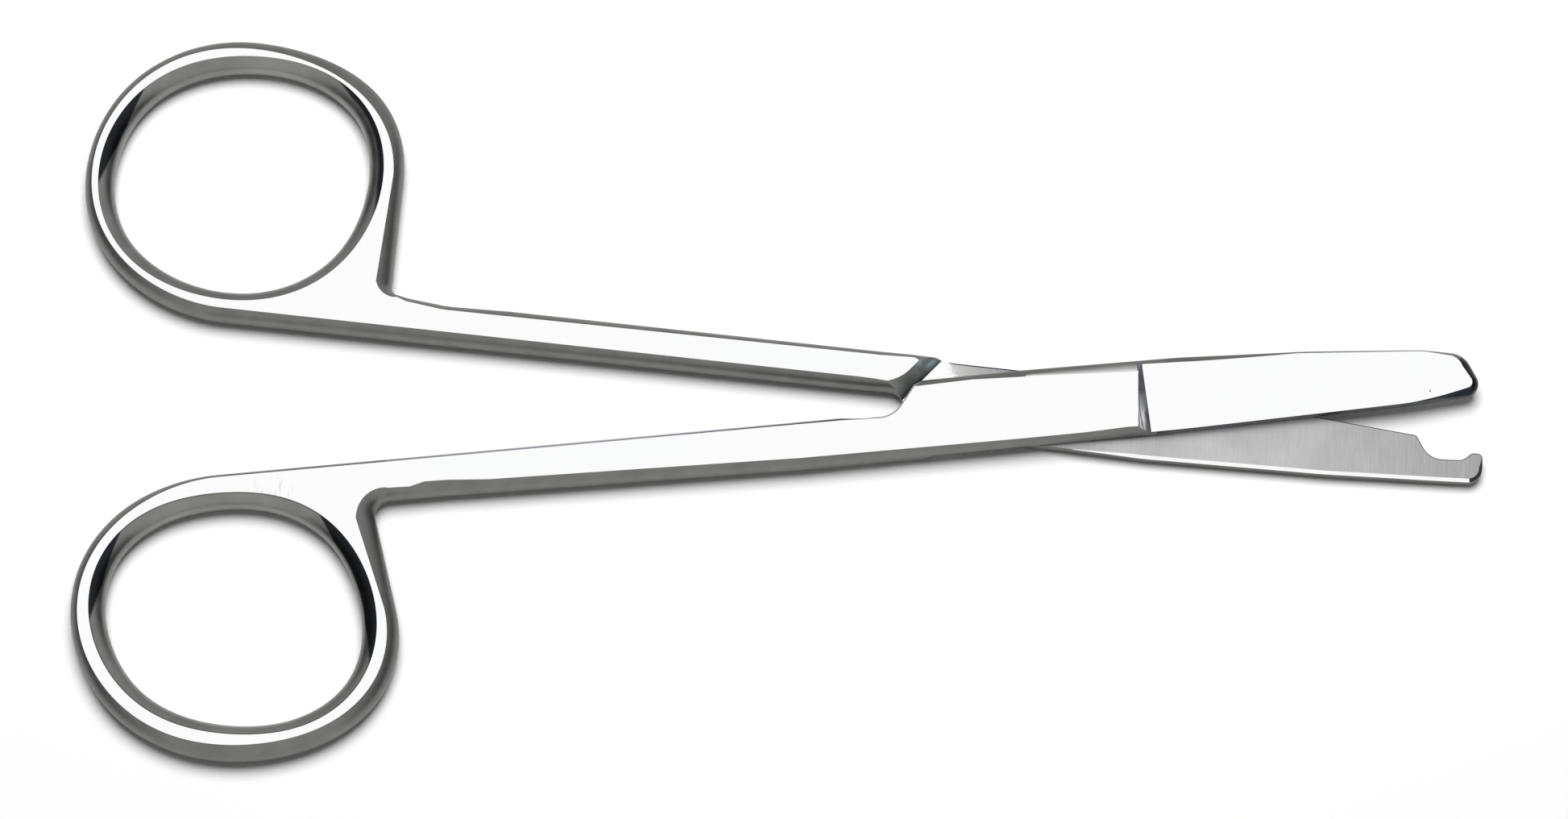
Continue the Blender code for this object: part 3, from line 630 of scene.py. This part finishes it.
def back_rows():
    """Hooked blade, plate, shank and ring of the back half, anticlockwise from the hook."""
    blade = {"plate": 1.0, "upright": BLADE_UPRIGHT}
    spine = {**blade, "lap_break": SPINE_BREAK}
    hook = {**blade, "lap_break": HOOK_BREAK}
    plate = {"plate": 1.0, "upright": PLATE_UPRIGHT}
    wall_x = (PLATE_INNER - BACK_SHANK_INNER) / math.tan(math.radians(CROTCH_ANGLE))
    crotch = (-BACK_PLATE_BACK - wall_x, BACK_SHANK_INNER)
    neck = (-BACK_NECK_BACK, -BACK_NECK_OUTER)
    ring = (
        (-BACK_RING_BACK, -BACK_RING_SIDE), BACK_HOLE_RADIUS + BACK_RING_BAND,
        ((0.00041, -0.7), (0.00014, -23.5), (0.0001, -24.0)), BACK_RING_FLANKS,
    )
    floor = -EDGE_AT_HOOK + HOOK_DEPTH
    mouth = BACK_TIP - HOOK_MOUTH
    nub = floor - NUB_HEIGHT
    side_x = HOOK_DEPTH / math.tan(math.radians(HOOK_SIDE))
    return np.vstack((
        corner(mouth, -EDGE_AT_HOOK, 0.0004, 0.0002, **hook),
        corner(mouth + side_x, floor, 0.0019, 0.0002, **hook),
        corner(BACK_TIP - 0.0016, floor - 0.0001, 0.0012, 0.0002, **hook),
        corner(BACK_TIP - 0.00085, nub, 0.0004, 0.00015, **hook),
        corner(BACK_TIP, nub, 0.0006, 0.00015, **hook),
        corner(BACK_TIP + 0.00003, PLATE_INNER - 0.00008, BACK_TIP_RADIUS, **spine),
        corner(BACK_TIP - 0.0035, PLATE_INNER + 0.00007, 0.015, **spine),
        corner(0.024, PLATE_INNER + 0.00039, 0.05, 0.0004, **spine),
        corner(0.0095, PLATE_INNER + 0.00047, 0.03, 0.001, **spine),
        corner(0.003, PLATE_INNER + 0.00022, 0.03, 0.0008, **blade),
        corner(-0.0045, PLATE_INNER + 0.0001, 0.05, 0.00045, **blade),
        corner(-BACK_PLATE_BACK, PLATE_INNER, 0.00045, **plate),
        corner(*crotch, 0.0015, 0.0009, plate=CROTCH_BLEND),
        corner(crotch[0] - 0.004, crotch[1] - 0.00004, 0.0, BACK_FLANK * 0.75),
        ring_rows(crotch, neck, ring),
        corner(*neck, NECK_RADIUS, NECK_FLANK, NECK_FLANK * 0.38),
        corner(neck[0] + 0.0016, neck[1] + 0.0003, 0.003, NECK_FLANK * 0.5),
        corner(neck[0] + 0.0048, neck[1] + 0.00068, 0.01, BACK_FLANK * 0.85),
        corner(neck[0] + 0.0099, neck[1] + 0.00062, 0.02, BACK_FLANK),
        corner(-0.0125, -BACK_SHANK_OUTER - 0.00003, 0.05, BACK_FLANK * 0.8),
        corner(-0.0097, -BACK_SHANK_OUTER, 0.0, BACK_FLANK * 0.7),
        corner(-0.0086, -BACK_SHANK_OUTER, 0.002, BACK_FLANK * 1.2),
        corner(-0.0064, -PLATE_OUTER - 0.00008, 0.003, plate=1.0, lap_break=PLATE_BREAK),
        corner(0.0, -PLATE_OUTER + 0.00004, 0.05, plate=1.0, lap_break=PLATE_BREAK),
        corner(STEP_BACK, -EDGE_HEEL, 0.01, 0.0004, lap_break=HOOK_BREAK, **plate),
    ))


def hole_rows(centre, radius, waves):
    """Finger hole as corner rows, clockwise so that the metal lies on the left."""
    angle = -np.linspace(0, 2 * math.pi, round(360 / RING_STEP), endpoint=False)
    widths = eased_round(HOLE_FLANKS, angle)
    return round_rows(around(centre, ring_radius(angle, radius, waves) - widths, angle), widths)


def rim_finishes(path, columns, ring_wall, front):
    """Finish of every face down each section of a half's rim or of its finger hole's wall."""
    finish = np.full((len(path), columns), BURNISHED if ring_wall else SATIN)
    upper, lower = finish[:, :LEVELS - 1], finish[:, LEVELS:]
    x, y = path[:, 0], path[:, 1]
    broken = path[:, 7] > 2 * EDGE_BREAK
    # Painted shade on the lower roundings of broken lap edges, except along the spine, which is polished
    lower[broken] = DARK
    lower[broken & (y > HOOK_DEPTH) & (x < BACK_TIP - BRIGHT_END)] = MIRROR_EDGE
    step_x = STEP_BACK + STEP_SKEW * y - STEP_LEAD
    # Painted highlight fading down the upper rounding along the plate up to the step, then the step's
    # painted dark reflection and highlights
    upper[(y > 0) & (x > 0) & (x < step_x)] = GRADED
    upper[(y > 0) & (x > step_x) & (x < foot_x(y))] = STEPPED
    # Painted dark reflection on the cutting edge's wall and on the blunt tip
    edge = (y < 0) & (x > foot_x(y) + EDGE_LEAD)
    tip = (x > FRONT_TIP - TIP_DARK[0]) & (y < TIP_DARK[1])
    finish[edge | tip] = DARK
    if front and not ring_wall:
        # Painted sheen on the inner edge of the front shank
        upper[(x > PALE_RUN[0]) & (x < PALE_RUN[1]) & (y > PALE_SIDE)] = PALE_EDGE
    return finish


def forge(name, rows, hole, shoulder, bore, angle, turned_over, pivot, materials):
    """One half: rim, hole wall, pivot bore and the two folded faces between them."""
    shell = Shell()
    outer, inner = [], []
    for table, ring_wall in ((rows, False), (hole, True)):
        path = trace(table)
        grid = rim(path, face_height, shoulder.height)
        run = np.broadcast_to(path_run(path)[:, None], grid.shape[:2])
        grain = np.stack((run, section_run(grid)), axis=-1)
        finish = rim_finishes(path, grid.shape[1] - 1, ring_wall, not turned_over)
        index = shell.add_grid(grid, grain, finish)
        outer.append(index[:, 0])
        inner.append(index[:, -1])

    wall = turned_wall(bore)
    run = np.broadcast_to(np.linspace(0, BORE_GRAIN, BORE_SIDES)[:, None], wall.shape[:2])
    index = shell.add_grid(wall, np.stack((run, section_run(wall)), axis=-1), MILLED)
    inner.append(index[:, -1])
    if bore[0][1] >= HALF:
        outer.append(index[:, 0])

    across = np.linspace(-STEP_REACH, STEP_REACH, STEP_SAMPLES)
    step_top = np.column_stack((STEP_BACK + STEP_SKEW * across, across))
    step_foot = np.column_stack((foot_x(across), across))

    def outer_finish(x, y):
        on_step = (face_height(x, y) < HALF - LEVEL) & (x < foot_x(y))
        return np.where(on_step, STEPPED, POLISHED)

    def inner_finish(x, y):
        level = shoulder.height(x, y)
        return np.where(level <= -HALF + LEVEL, POLISHED, np.where(level >= LAP - LEVEL, GROUND, MILLED))

    shell.add_face(
        outer, (step_top, step_foot), face_height, outer_finish, lambda x, y: np.zeros(len(x), bool),
    )
    shell.add_face(
        inner, [shoulder.line(share) for share in (0.0, 0.25, 0.5, 0.75, 1.0)], shoulder.height,
        inner_finish, lambda x, y: inner_finish(x, y) == MILLED,
    )
    return shell.build(name, angle, turned_over, pivot, materials)


class Nodes:
    """Short hand for building a node tree."""

    def __init__(self, tree):
        self.tree = tree

    def node(self, kind, inputs=(), **settings):
        made = self.tree.nodes.new(kind)
        for key, value in settings.items():
            setattr(made, key, value)
        for key, value in dict(inputs).items():
            self.feed(made.inputs[key], value)
        return made

    def feed(self, socket, value):
        """Link or set one input; a colour may leave its alpha out."""
        if isinstance(value, bpy.types.NodeSocket):
            self.tree.links.new(value, socket)
        elif socket.type == "RGBA" and len(value) == 3:
            socket.default_value = (*value, 1)
        else:
            socket.default_value = value

    def math(self, operation, first, second=0.0):
        return self.node("ShaderNodeMath", {0: first, 1: second}, operation=operation).outputs[0]

    def spread(self, value, low, high, first=0.0, last=1.0, smooth=False):
        """Value from low..high onto first..last."""
        return self.node("ShaderNodeMapRange", {
            "Value": value, "From Min": low, "From Max": high, "To Min": first, "To Max": last,
        }, interpolation_type="SMOOTHSTEP" if smooth else "LINEAR").outputs["Result"]

    def vector(self, operation, first, second=(0, 0, 0)):
        return self.node("ShaderNodeVectorMath", {0: first, 1: second}, operation=operation).outputs

    def axes(self, vector):
        return self.node("ShaderNodeSeparateXYZ", {0: vector}).outputs


class Finish(Nodes):
    """Nodes of one procedural steel."""

    def __init__(self, name):
        self.material = bpy.data.materials.new(name)
        self.material.use_nodes = True
        super().__init__(self.material.node_tree)
        self.shader = self.tree.nodes["Principled BSDF"]
        self.shader.inputs["Metallic"].default_value = 1.0

    def spot(self, grain=False):
        """Object coordinates, or the grain map."""
        if grain:
            return self.node("ShaderNodeUVMap", uv_map="grain").outputs["UV"]
        return self.node("ShaderNodeTexCoord").outputs["Object"]

    def noise(self, vector, scale, detail=3.0):
        return self.node("ShaderNodeTexNoise", {
            "Vector": vector, "Scale": scale, "Detail": detail, "Roughness": 0.55,
        }).outputs["Fac"]

    def streaks(self, stretch, scale, turn=0.0, detail=3.0, grain=True):
        """Noise turned about the upright and stretched."""
        place = self.node("ShaderNodeMapping", {
            "Vector": self.spot(grain), "Rotation": (0, 0, math.radians(turn)), "Scale": stretch,
        })
        return self.noise(place.outputs["Vector"], scale, detail)

    def brushed(self, low, high):
        """Roughness between low and high that changes in fine lines along a rim."""
        return self.spread(self.streaks((2, 40, 1), 20.0), 0.3, 0.7, low, high)

    def mix(self, share, first, last):
        made = self.node("ShaderNodeMix", {"Factor": share}, data_type="RGBA")
        self.feed(made.inputs[6], first)
        self.feed(made.inputs[7], last)
        return made.outputs[2]

    def mottled(self, scale, first, last, low=0.3, high=0.7):
        """Colour that wanders evenly between two tones."""
        return self.mix(self.spread(self.noise(self.spot(), scale), low, high), first, last)

    def bump(self, height, strength, distance=0.0001):
        return self.node("ShaderNodeBump", {
            "Height": height, "Strength": strength, "Distance": distance,
        }).outputs["Normal"]

    def wire(self, colour, roughness, normal=None):
        """Finished material."""
        self.feed(self.shader.inputs["Base Color"], colour)
        self.feed(self.shader.inputs["Roughness"], roughness)
        if normal:
            self.feed(self.shader.inputs["Normal"], normal)
        return self.material


def polished_steel():
    """Mirror-polished flats: near-white, with a faint polishing grain, one pit and some scuffs."""
    steel = Finish("polished_flat_steel")
    grain = steel.streaks((4, 60, 60), 30.0)
    tone = steel.mottled(60.0, (0.955, 0.96, 0.965), (0.975, 0.975, 0.975))
    away = steel.vector("DISTANCE", steel.spot(), PIT)["Value"]
    tone = steel.mix(steel.spread(away, 0.00006, 0.00011, 0.8, 0.0), tone, (0.1, 0.12, 0.16))
    away = steel.vector("DISTANCE", steel.spot(), SCUFF)["Value"]
    hairs = steel.streaks((6, 0.8, 1), 900.0, turn=20.0, detail=1.0, grain=False)
    near = steel.spread(away, 0.0008, 0.0021, 0.5, 0.0)
    scuffed = steel.math("MULTIPLY", near, steel.spread(hairs, 0.58, 0.66))
    tone = steel.mix(scuffed, tone, (0.55, 0.55, 0.53))
    return steel.wire(tone, steel.spread(grain, 0.3, 0.7, 0.08, 0.14), steel.bump(grain, 0.02))


def satin_steel():
    """Rounded flanks: satin steel, mottled, with grain along the rim; the satin is real, the dark base
    colour is painted shade.
    """
    steel = Finish("satin_flank_steel")
    bump = steel.bump(steel.streaks((2, 40, 1), 20.0), 0.05)
    return steel.wire(steel.mottled(500.0, *SATIN_SHADE_TONES), steel.brushed(0.4, 0.48), bump)


def dark_reflection_share(steel):
    """Painted dark reflection on a finger hole's wall: a crescent down from the upper flat at either
    end of the hole, each as deep as it lies beyond its start and above its lowest spot."""
    spot = steel.axes(steel.spot())
    sideways = steel.math("SUBTRACT", spot["X"], RING_X)
    centre = steel.math("MULTIPLY", steel.math("SIGN", spot["Y"]), RING_Y)
    aside = steel.math("SUBTRACT", spot["Y"], centre)
    start = steel.spread(sideways, -0.0001, 0.0001, 0.0086, 0.0068)
    beyond = steel.math("SUBTRACT", steel.math("ABSOLUTE", sideways), start)
    lowest = steel.spread(sideways, -0.0001, 0.0001, -0.0014, -0.005)
    above = steel.math("SUBTRACT", aside, lowest)
    share = steel.math("MULTIPLY", steel.spread(beyond, 0.0, 0.0016), steel.spread(above, 0.0, 0.004))
    narrow = steel.spread(steel.math("MINIMUM", sideways, spot["Y"]), 0.0, 0.0001, 1.0, 0.4)
    reach = steel.math("MULTIPLY", steel.math("MULTIPLY", share, narrow), DARK_REFLECTION_DEPTH)
    depth = steel.math("SUBTRACT", THICKNESS, spot["Z"])
    return steel.spread(steel.math("SUBTRACT", depth, reach), -0.00012, 0.0, 1.0, 0.0, smooth=True)


def burnished_steel():
    """Walls of the finger holes: steel rubbed smoother than the flanks and blotched; its dark base
    colour is painted shade, and a darker strip along the edge with the outer flat and dark crescents at
    the holes' ends are painted dark reflections.
    """
    steel = Finish("burnished_hole_steel")
    blotch = steel.noise(steel.spot(), 900.0, detail=4.0)
    run = steel.axes(steel.spot(grain=True))["Y"]
    tone = steel.mottled(200.0, (0.19, 0.195, 0.185), (0.25, 0.25, 0.235))
    # Painted dark reflection: a darker strip along the wall's edge with the half's outer flat
    tone = steel.mix(steel.spread(run, 0.0005, 0.0015), (0.12, 0.12, 0.11), tone)
    # Painted dark reflection: crescents down the walls at the holes' ends
    tone = steel.mix(dark_reflection_share(steel), tone, (0.02, 0.024, 0.028))
    return steel.wire(tone, steel.spread(blotch, 0.3, 0.7, 0.32, 0.42), steel.bump(blotch, 0.06))


def ground_steel():
    """Inner blade and lap faces: light grey, ground across, and rubbed bright beside the shoulder."""
    steel = Finish("ground_blade_steel")
    streaks = steel.streaks((18, 0.5, 1), 60.0, turn=3.0, detail=5.0)
    spot = steel.axes(steel.spot(grain=True))
    past = steel.math("SUBTRACT", spot["X"], steel.math("MULTIPLY", spot["Y"], RUBBED_SKEW))
    ragged = steel.streaks((1, 0.5, 1), 900.0)
    edge = steel.math("ADD", past, steel.spread(ragged, 0.35, 0.65, -0.005, 0.003))
    rubbed_and_highlight = steel.spread(edge, RUBBED_PAST, RUBBED_PAST + 0.002, 1.0, 0.0, smooth=True)
    lap = steel.spread(past, RUBBED_PAST, RUBBED_PAST + 0.05)
    tone = steel.mix(lap, (0.68, 0.68, 0.67), (0.33, 0.33, 0.335))
    tone = steel.mix(steel.spread(spot["X"], -0.01, 0.03), tone, (0.58, 0.58, 0.59))
    tone = steel.mix(steel.spread(spot["X"], 0.2, 0.36), tone, (0.4, 0.4, 0.405))
    tone = steel.mix(steel.spread(streaks, 0.35, 0.65, 0.0, 0.2), tone, (0.9, 0.9, 0.9))
    cloud = steel.noise(steel.spot(), 250.0)
    tone = steel.mix(steel.spread(cloud, 0.35, 0.65, 0.14, 0.0), tone, (0.1, 0.1, 0.09))
    tone = steel.mix(rubbed_and_highlight, tone, (0.98, 0.98, 0.98))
    return steel.wire(tone, steel.spread(rubbed_and_highlight, 0.0, 1.0, 0.4, 0.12), steel.bump(streaks, 0.08))


def milled_steel():
    """Shoulders and bores: dark, matt, finely milled, with a painted cold glint and painted shade
    darkening the foot.
    """
    steel = Finish("milled_shoulder_steel")
    marks = steel.noise(steel.spot(), 900.0)
    tone = steel.mix(steel.spread(marks, 0.3, 0.7), (0.27, 0.28, 0.26), (0.42, 0.43, 0.41))
    spot = steel.axes(steel.spot(grain=True))
    # Painted highlight: a cold glint near the top of the shoulder
    cold = steel.noise(steel.spot(), 600.0, detail=1.0)
    high = steel.spread(spot["Y"], -0.022, -0.028)
    glint = steel.math("MULTIPLY", high, steel.spread(cold, 0.5, 0.62, 0.0, 0.8))
    tone = steel.mix(glint, tone, (0.5, 0.72, 0.78))
    # Painted shade darkening the shoulder towards its foot
    steep = math.radians(CROTCH_ANGLE)
    along = steel.math("MULTIPLY", spot["X"], math.sin(steep))
    past = steel.math("ADD", along, steel.math("MULTIPLY", spot["Y"], math.cos(steep)))
    foot = GRAIN * (
        (-FRONT_PLATE_BACK - NEST_GAP) * math.sin(steep) - PLATE_INNER * math.cos(steep)
        + SHOULDER_WIDTH * (HALF + LAP) / HALF
    )
    tone = steel.mix(steel.spread(past, foot - 0.0035, foot - 0.001, 0.0, 0.6), tone, (0.06, 0.08, 0.11))
    return steel.wire(tone, 0.75, steel.bump(marks, 0.1, 0.00005))


def stepped_steel():
    """Sloping step: dark blue-grey, a painted dark reflection, with a lighter patch and bright hairlines
    along its top towards the cutting edge that are painted highlights.
    """
    steel = Finish("sloping_step_steel")
    spot = steel.axes(steel.spot(grain=True))
    past = steel.math("SUBTRACT", spot["X"], steel.math("MULTIPLY", spot["Y"], STEP_SKEW))
    lines = steel.streaks((12, 0.6, 1), 70.0, turn=-14.0, detail=1.0)
    near_edge = steel.spread(spot["Y"], 0.002, -0.02)
    near_top = steel.spread(past, STEP_BACK * GRAIN + 0.0075, STEP_BACK * GRAIN + 0.0045)
    # Painted highlight: a lighter patch along the step's top towards the cutting edge, with white
    # hairlines in it
    rubbed_and_highlight = steel.math("MULTIPLY", near_edge, near_top)
    hair = steel.math("MULTIPLY", rubbed_and_highlight, steel.spread(lines, 0.47, 0.5))
    # Painted dark reflection: the step's dark blue-grey tone
    tone = steel.mottled(700.0, (0.13, 0.145, 0.17), (0.22, 0.235, 0.26))
    tone = steel.mix(hair, steel.mix(rubbed_and_highlight, tone, (0.4, 0.4, 0.46)), (1.0, 1.0, 1.0))
    return steel.wire(tone, steel.spread(rubbed_and_highlight, 0.0, 1.0, 0.4, 0.6), steel.bump(lines, 0.1, 0.00005))


def pale_edge_steel():
    """Inner edge of the front shank: satin beside the ring, with a painted lilac sheen that grows paler
    towards the joint.
    """
    steel = Finish("shank_edge_steel")
    share = steel.spread(steel.axes(steel.spot())["X"], PALE_FROM, PALE_TO)
    tone = steel.mix(share, (0.24, 0.24, 0.27), (0.42, 0.41, 0.47))
    return steel.wire(tone, steel.brushed(0.3, 0.4))


def dark_steel():
    """Cutting edges, tips and hook: blue-black painted dark reflection, and painted shade on the lower
    roundings of broken lap edges.
    """
    steel = Finish("dark_edge_steel")
    tone = steel.mottled(600.0, (0.02, 0.025, 0.032), (0.055, 0.06, 0.07), 0.35, 0.65)
    return steel.wire(tone, steel.brushed(0.28, 0.38))


def graded_steel():
    """Upper flank beside the step: a painted highlight, as bright as the flat at its top and fading to
    satin down the rounding.
    """
    steel = Finish("graded_flank_steel")
    run = steel.axes(steel.spot(grain=True))["Y"]
    along = steel.axes(steel.spot())["X"]
    reach = steel.spread(along, GRADED_FROM, GRADED_TO, 0.001, 0.0115)
    left = steel.spread(steel.math("DIVIDE", run, reach), 0.0, 1.0, 1.0, 0.0)
    bright = steel.math("POWER", left, 2.2)
    tone = steel.mix(bright, steel.mottled(500.0, *SATIN_SHADE_TONES), (0.97, 0.97, 0.97))
    return steel.wire(tone, steel.spread(bright, 0.0, 1.0, 0.42, 0.2))


def mirror_edge_steel():
    """Polished rounding along the hooked blade's spine."""
    steel = Finish("polished_spine_steel")
    return steel.wire((0.95, 0.95, 0.95), steel.brushed(0.1, 0.2))


def screw_steel(pivot):
    """Turned steel of the pivot screw, with rings round its head."""
    steel = Finish("turned_screw_steel")
    arm = steel.vector("SUBTRACT", steel.spot(), (pivot[0], pivot[1], 0))[0]
    flat = steel.vector("MULTIPLY", arm, (1, 1, 0))[0]
    reach = steel.vector("LENGTH", flat)["Value"]
    rings = steel.math("SINE", steel.math("MULTIPLY", reach, 2 * math.pi / 0.00006))
    worn = steel.noise(steel.spot(), 700.0)
    tone = steel.mix(steel.spread(worn, 0.3, 0.7), (0.4, 0.4, 0.4), (0.62, 0.62, 0.61))
    return steel.wire(tone, steel.spread(worn, 0.3, 0.7, 0.22, 0.34), steel.bump(rings, 0.15, 0.00002))


def table_top():
    """Plain white table: one big matt square."""
    corners = np.array(((-1, -1, 0), (1, -1, 0), (1, 1, 0), (-1, 1, 0))) * TABLE_REACH
    mesh = bpy.data.meshes.new("table_top")
    mesh.from_pydata(corners.tolist(), [], [(0, 1, 2, 3)])
    table = bpy.data.objects.new("table_top", mesh)
    bpy.context.scene.collection.objects.link(table)
    material = bpy.data.materials.new("white_table")
    material.use_nodes = True
    material.node_tree.nodes.clear()
    nodes = Nodes(material.node_tree)
    shade = nodes.node("ShaderNodeBsdfDiffuse", {"Color": (0.96, 0.96, 0.96)})
    nodes.node("ShaderNodeOutputMaterial", {"Surface": shade.outputs[0]})
    mesh.materials.append(material)


def studio():
    """Soft light from overhead, and a white tent with darker ends for the steel to mirror."""
    world = bpy.data.worlds.new("light_tent")
    bpy.context.scene.world = world
    world.cycles.sampling_method = "NONE"
    world.use_nodes = True
    world.node_tree.nodes.clear()
    sky = Nodes(world.node_tree)
    way = sky.axes(sky.node("ShaderNodeTexCoord").outputs["Generated"])
    sideways = sky.math("ABSOLUTE", way["X"])
    ends = sky.spread(sideways, TENT_END, TENT_END + TENT_BLUR, 1.0, END_GLOW, smooth=True)
    far = sky.spread(way["Y"], TENT_FAR, TENT_FAR + 2 * TENT_BLUR, 1.0, FAR_GLOW, smooth=True)
    ray = sky.node("ShaderNodeLightPath").outputs
    mirrored = sky.math("MULTIPLY", ray["Is Glossy Ray"], sky.math("MULTIPLY", ends, far))
    shown = sky.math("ADD", mirrored, ray["Is Camera Ray"])
    seen = sky.math("MAXIMUM", ray["Is Glossy Ray"], ray["Is Camera Ray"])
    light = sky.math("MULTIPLY", sky.math("SUBTRACT", 1.0, seen), ROOM_LIGHT)
    strength = sky.math("ADD", shown, light)
    glow = sky.node("ShaderNodeBackground", {"Color": (1, 1, 1), "Strength": strength})
    sky.node("ShaderNodeOutputWorld", {"Surface": glow.outputs[0]})

    lean = math.radians(KEY_LEAN)
    lamp = bpy.data.lights.new("key_light", "AREA")
    lamp.shape = "DISK"
    lamp.size = 2 * KEY_REACH * math.tan(math.radians(KEY_SPREAD / 2))
    lamp.energy = KEY_LEVEL * math.pi * KEY_REACH ** 2
    key = bpy.data.objects.new("key_light", lamp)
    key.location = (0, KEY_REACH * math.sin(lean), KEY_REACH * math.cos(lean))
    key.rotation_euler = (-lean, 0, 0)
    key.visible_glossy = False
    bpy.context.scene.collection.objects.link(key)


def photo_camera(pivot):
    tilt = math.radians(VIEW_TILT)
    aim = Vector((pivot[0] - AIM_BACK, pivot[1] - AIM_SIDE, pivot[2]))
    lens = bpy.data.cameras.new("photo_camera")
    lens.lens = LENS
    lens.sensor_width = SENSOR
    lens.sensor_fit = "HORIZONTAL"
    lens.clip_start = 0.01
    camera = bpy.data.objects.new("photo_camera", lens)
    camera.location = aim + Vector((0, -math.sin(tilt), math.cos(tilt))) * VIEW_REACH
    camera.rotation_euler = (tilt, 0, 0)
    bpy.context.scene.collection.objects.link(camera)
    bpy.context.scene.camera = camera


def main():
    pivot = frame["joints"][0]["pos_m"]
    swing = math.radians(REST_OPENING / 2)
    finishes = (
        polished_steel(), satin_steel(), burnished_steel(), ground_steel(), milled_steel(),
        mirror_edge_steel(), graded_steel(), stepped_steel(), dark_steel(), pale_edge_steel(),
    )
    slope_x = SHOULDER_WIDTH * (HALF + LAP) / HALF / math.sin(math.radians(CROTCH_ANGLE))
    bore = SHAFT_RADIUS + SHAFT_CLEARANCE
    floor = LAP + SCREW_GRIP + SCREW_HOLE_SPARE
    head = HEAD_RADIUS + SHAFT_CLEARANCE
    seat = HALF - HEAD_SINK - HEAD_RIM
    front = forge(
        "front_forging", front_rows(),
        hole_rows((-FRONT_RING_BACK + 0.0002, -FRONT_RING_SIDE), FRONT_HOLE_RADIUS,
                  ((0.0008, -21.2), (0.00011, -59.7), (0.00016, -38.2))),
        Shoulder(-BACK_PLATE_BACK - NEST_GAP - slope_x, FRONT_SHANK_INNER, FRONT_FLANK),
        ((0.0, floor), (bore, floor), (bore, LAP)), swing, False, pivot, finishes,
    )
    back = forge(
        "back_forging", back_rows(),
        hole_rows((-BACK_RING_BACK, -BACK_RING_SIDE), BACK_HOLE_RADIUS,
                  ((0.00042, -6.8), (0.00011, -46.5), (0.00011, -39.2))),
        Shoulder(-FRONT_PLATE_BACK - NEST_GAP, BACK_SHANK_INNER, BACK_FLANK * 0.75),
        ((head, HALF), (head, seat), (bore, seat - HEAD_DEPTH), (bore, LAP)),
        -swing, True, pivot, finishes,
    )
    for piece, body, node in ((front, "front", "front_half"), (back, "back", "back_half")):
        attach(piece, body)
        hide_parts(node)
    screw = frame["nodes"]["pivot_screw"]
    screw.data.materials.clear()
    screw.data.materials.append(screw_steel(pivot))

    table_top()
    studio()
    photo_camera(pivot)
    bpy.context.scene.view_settings.view_transform = "Standard"


main()
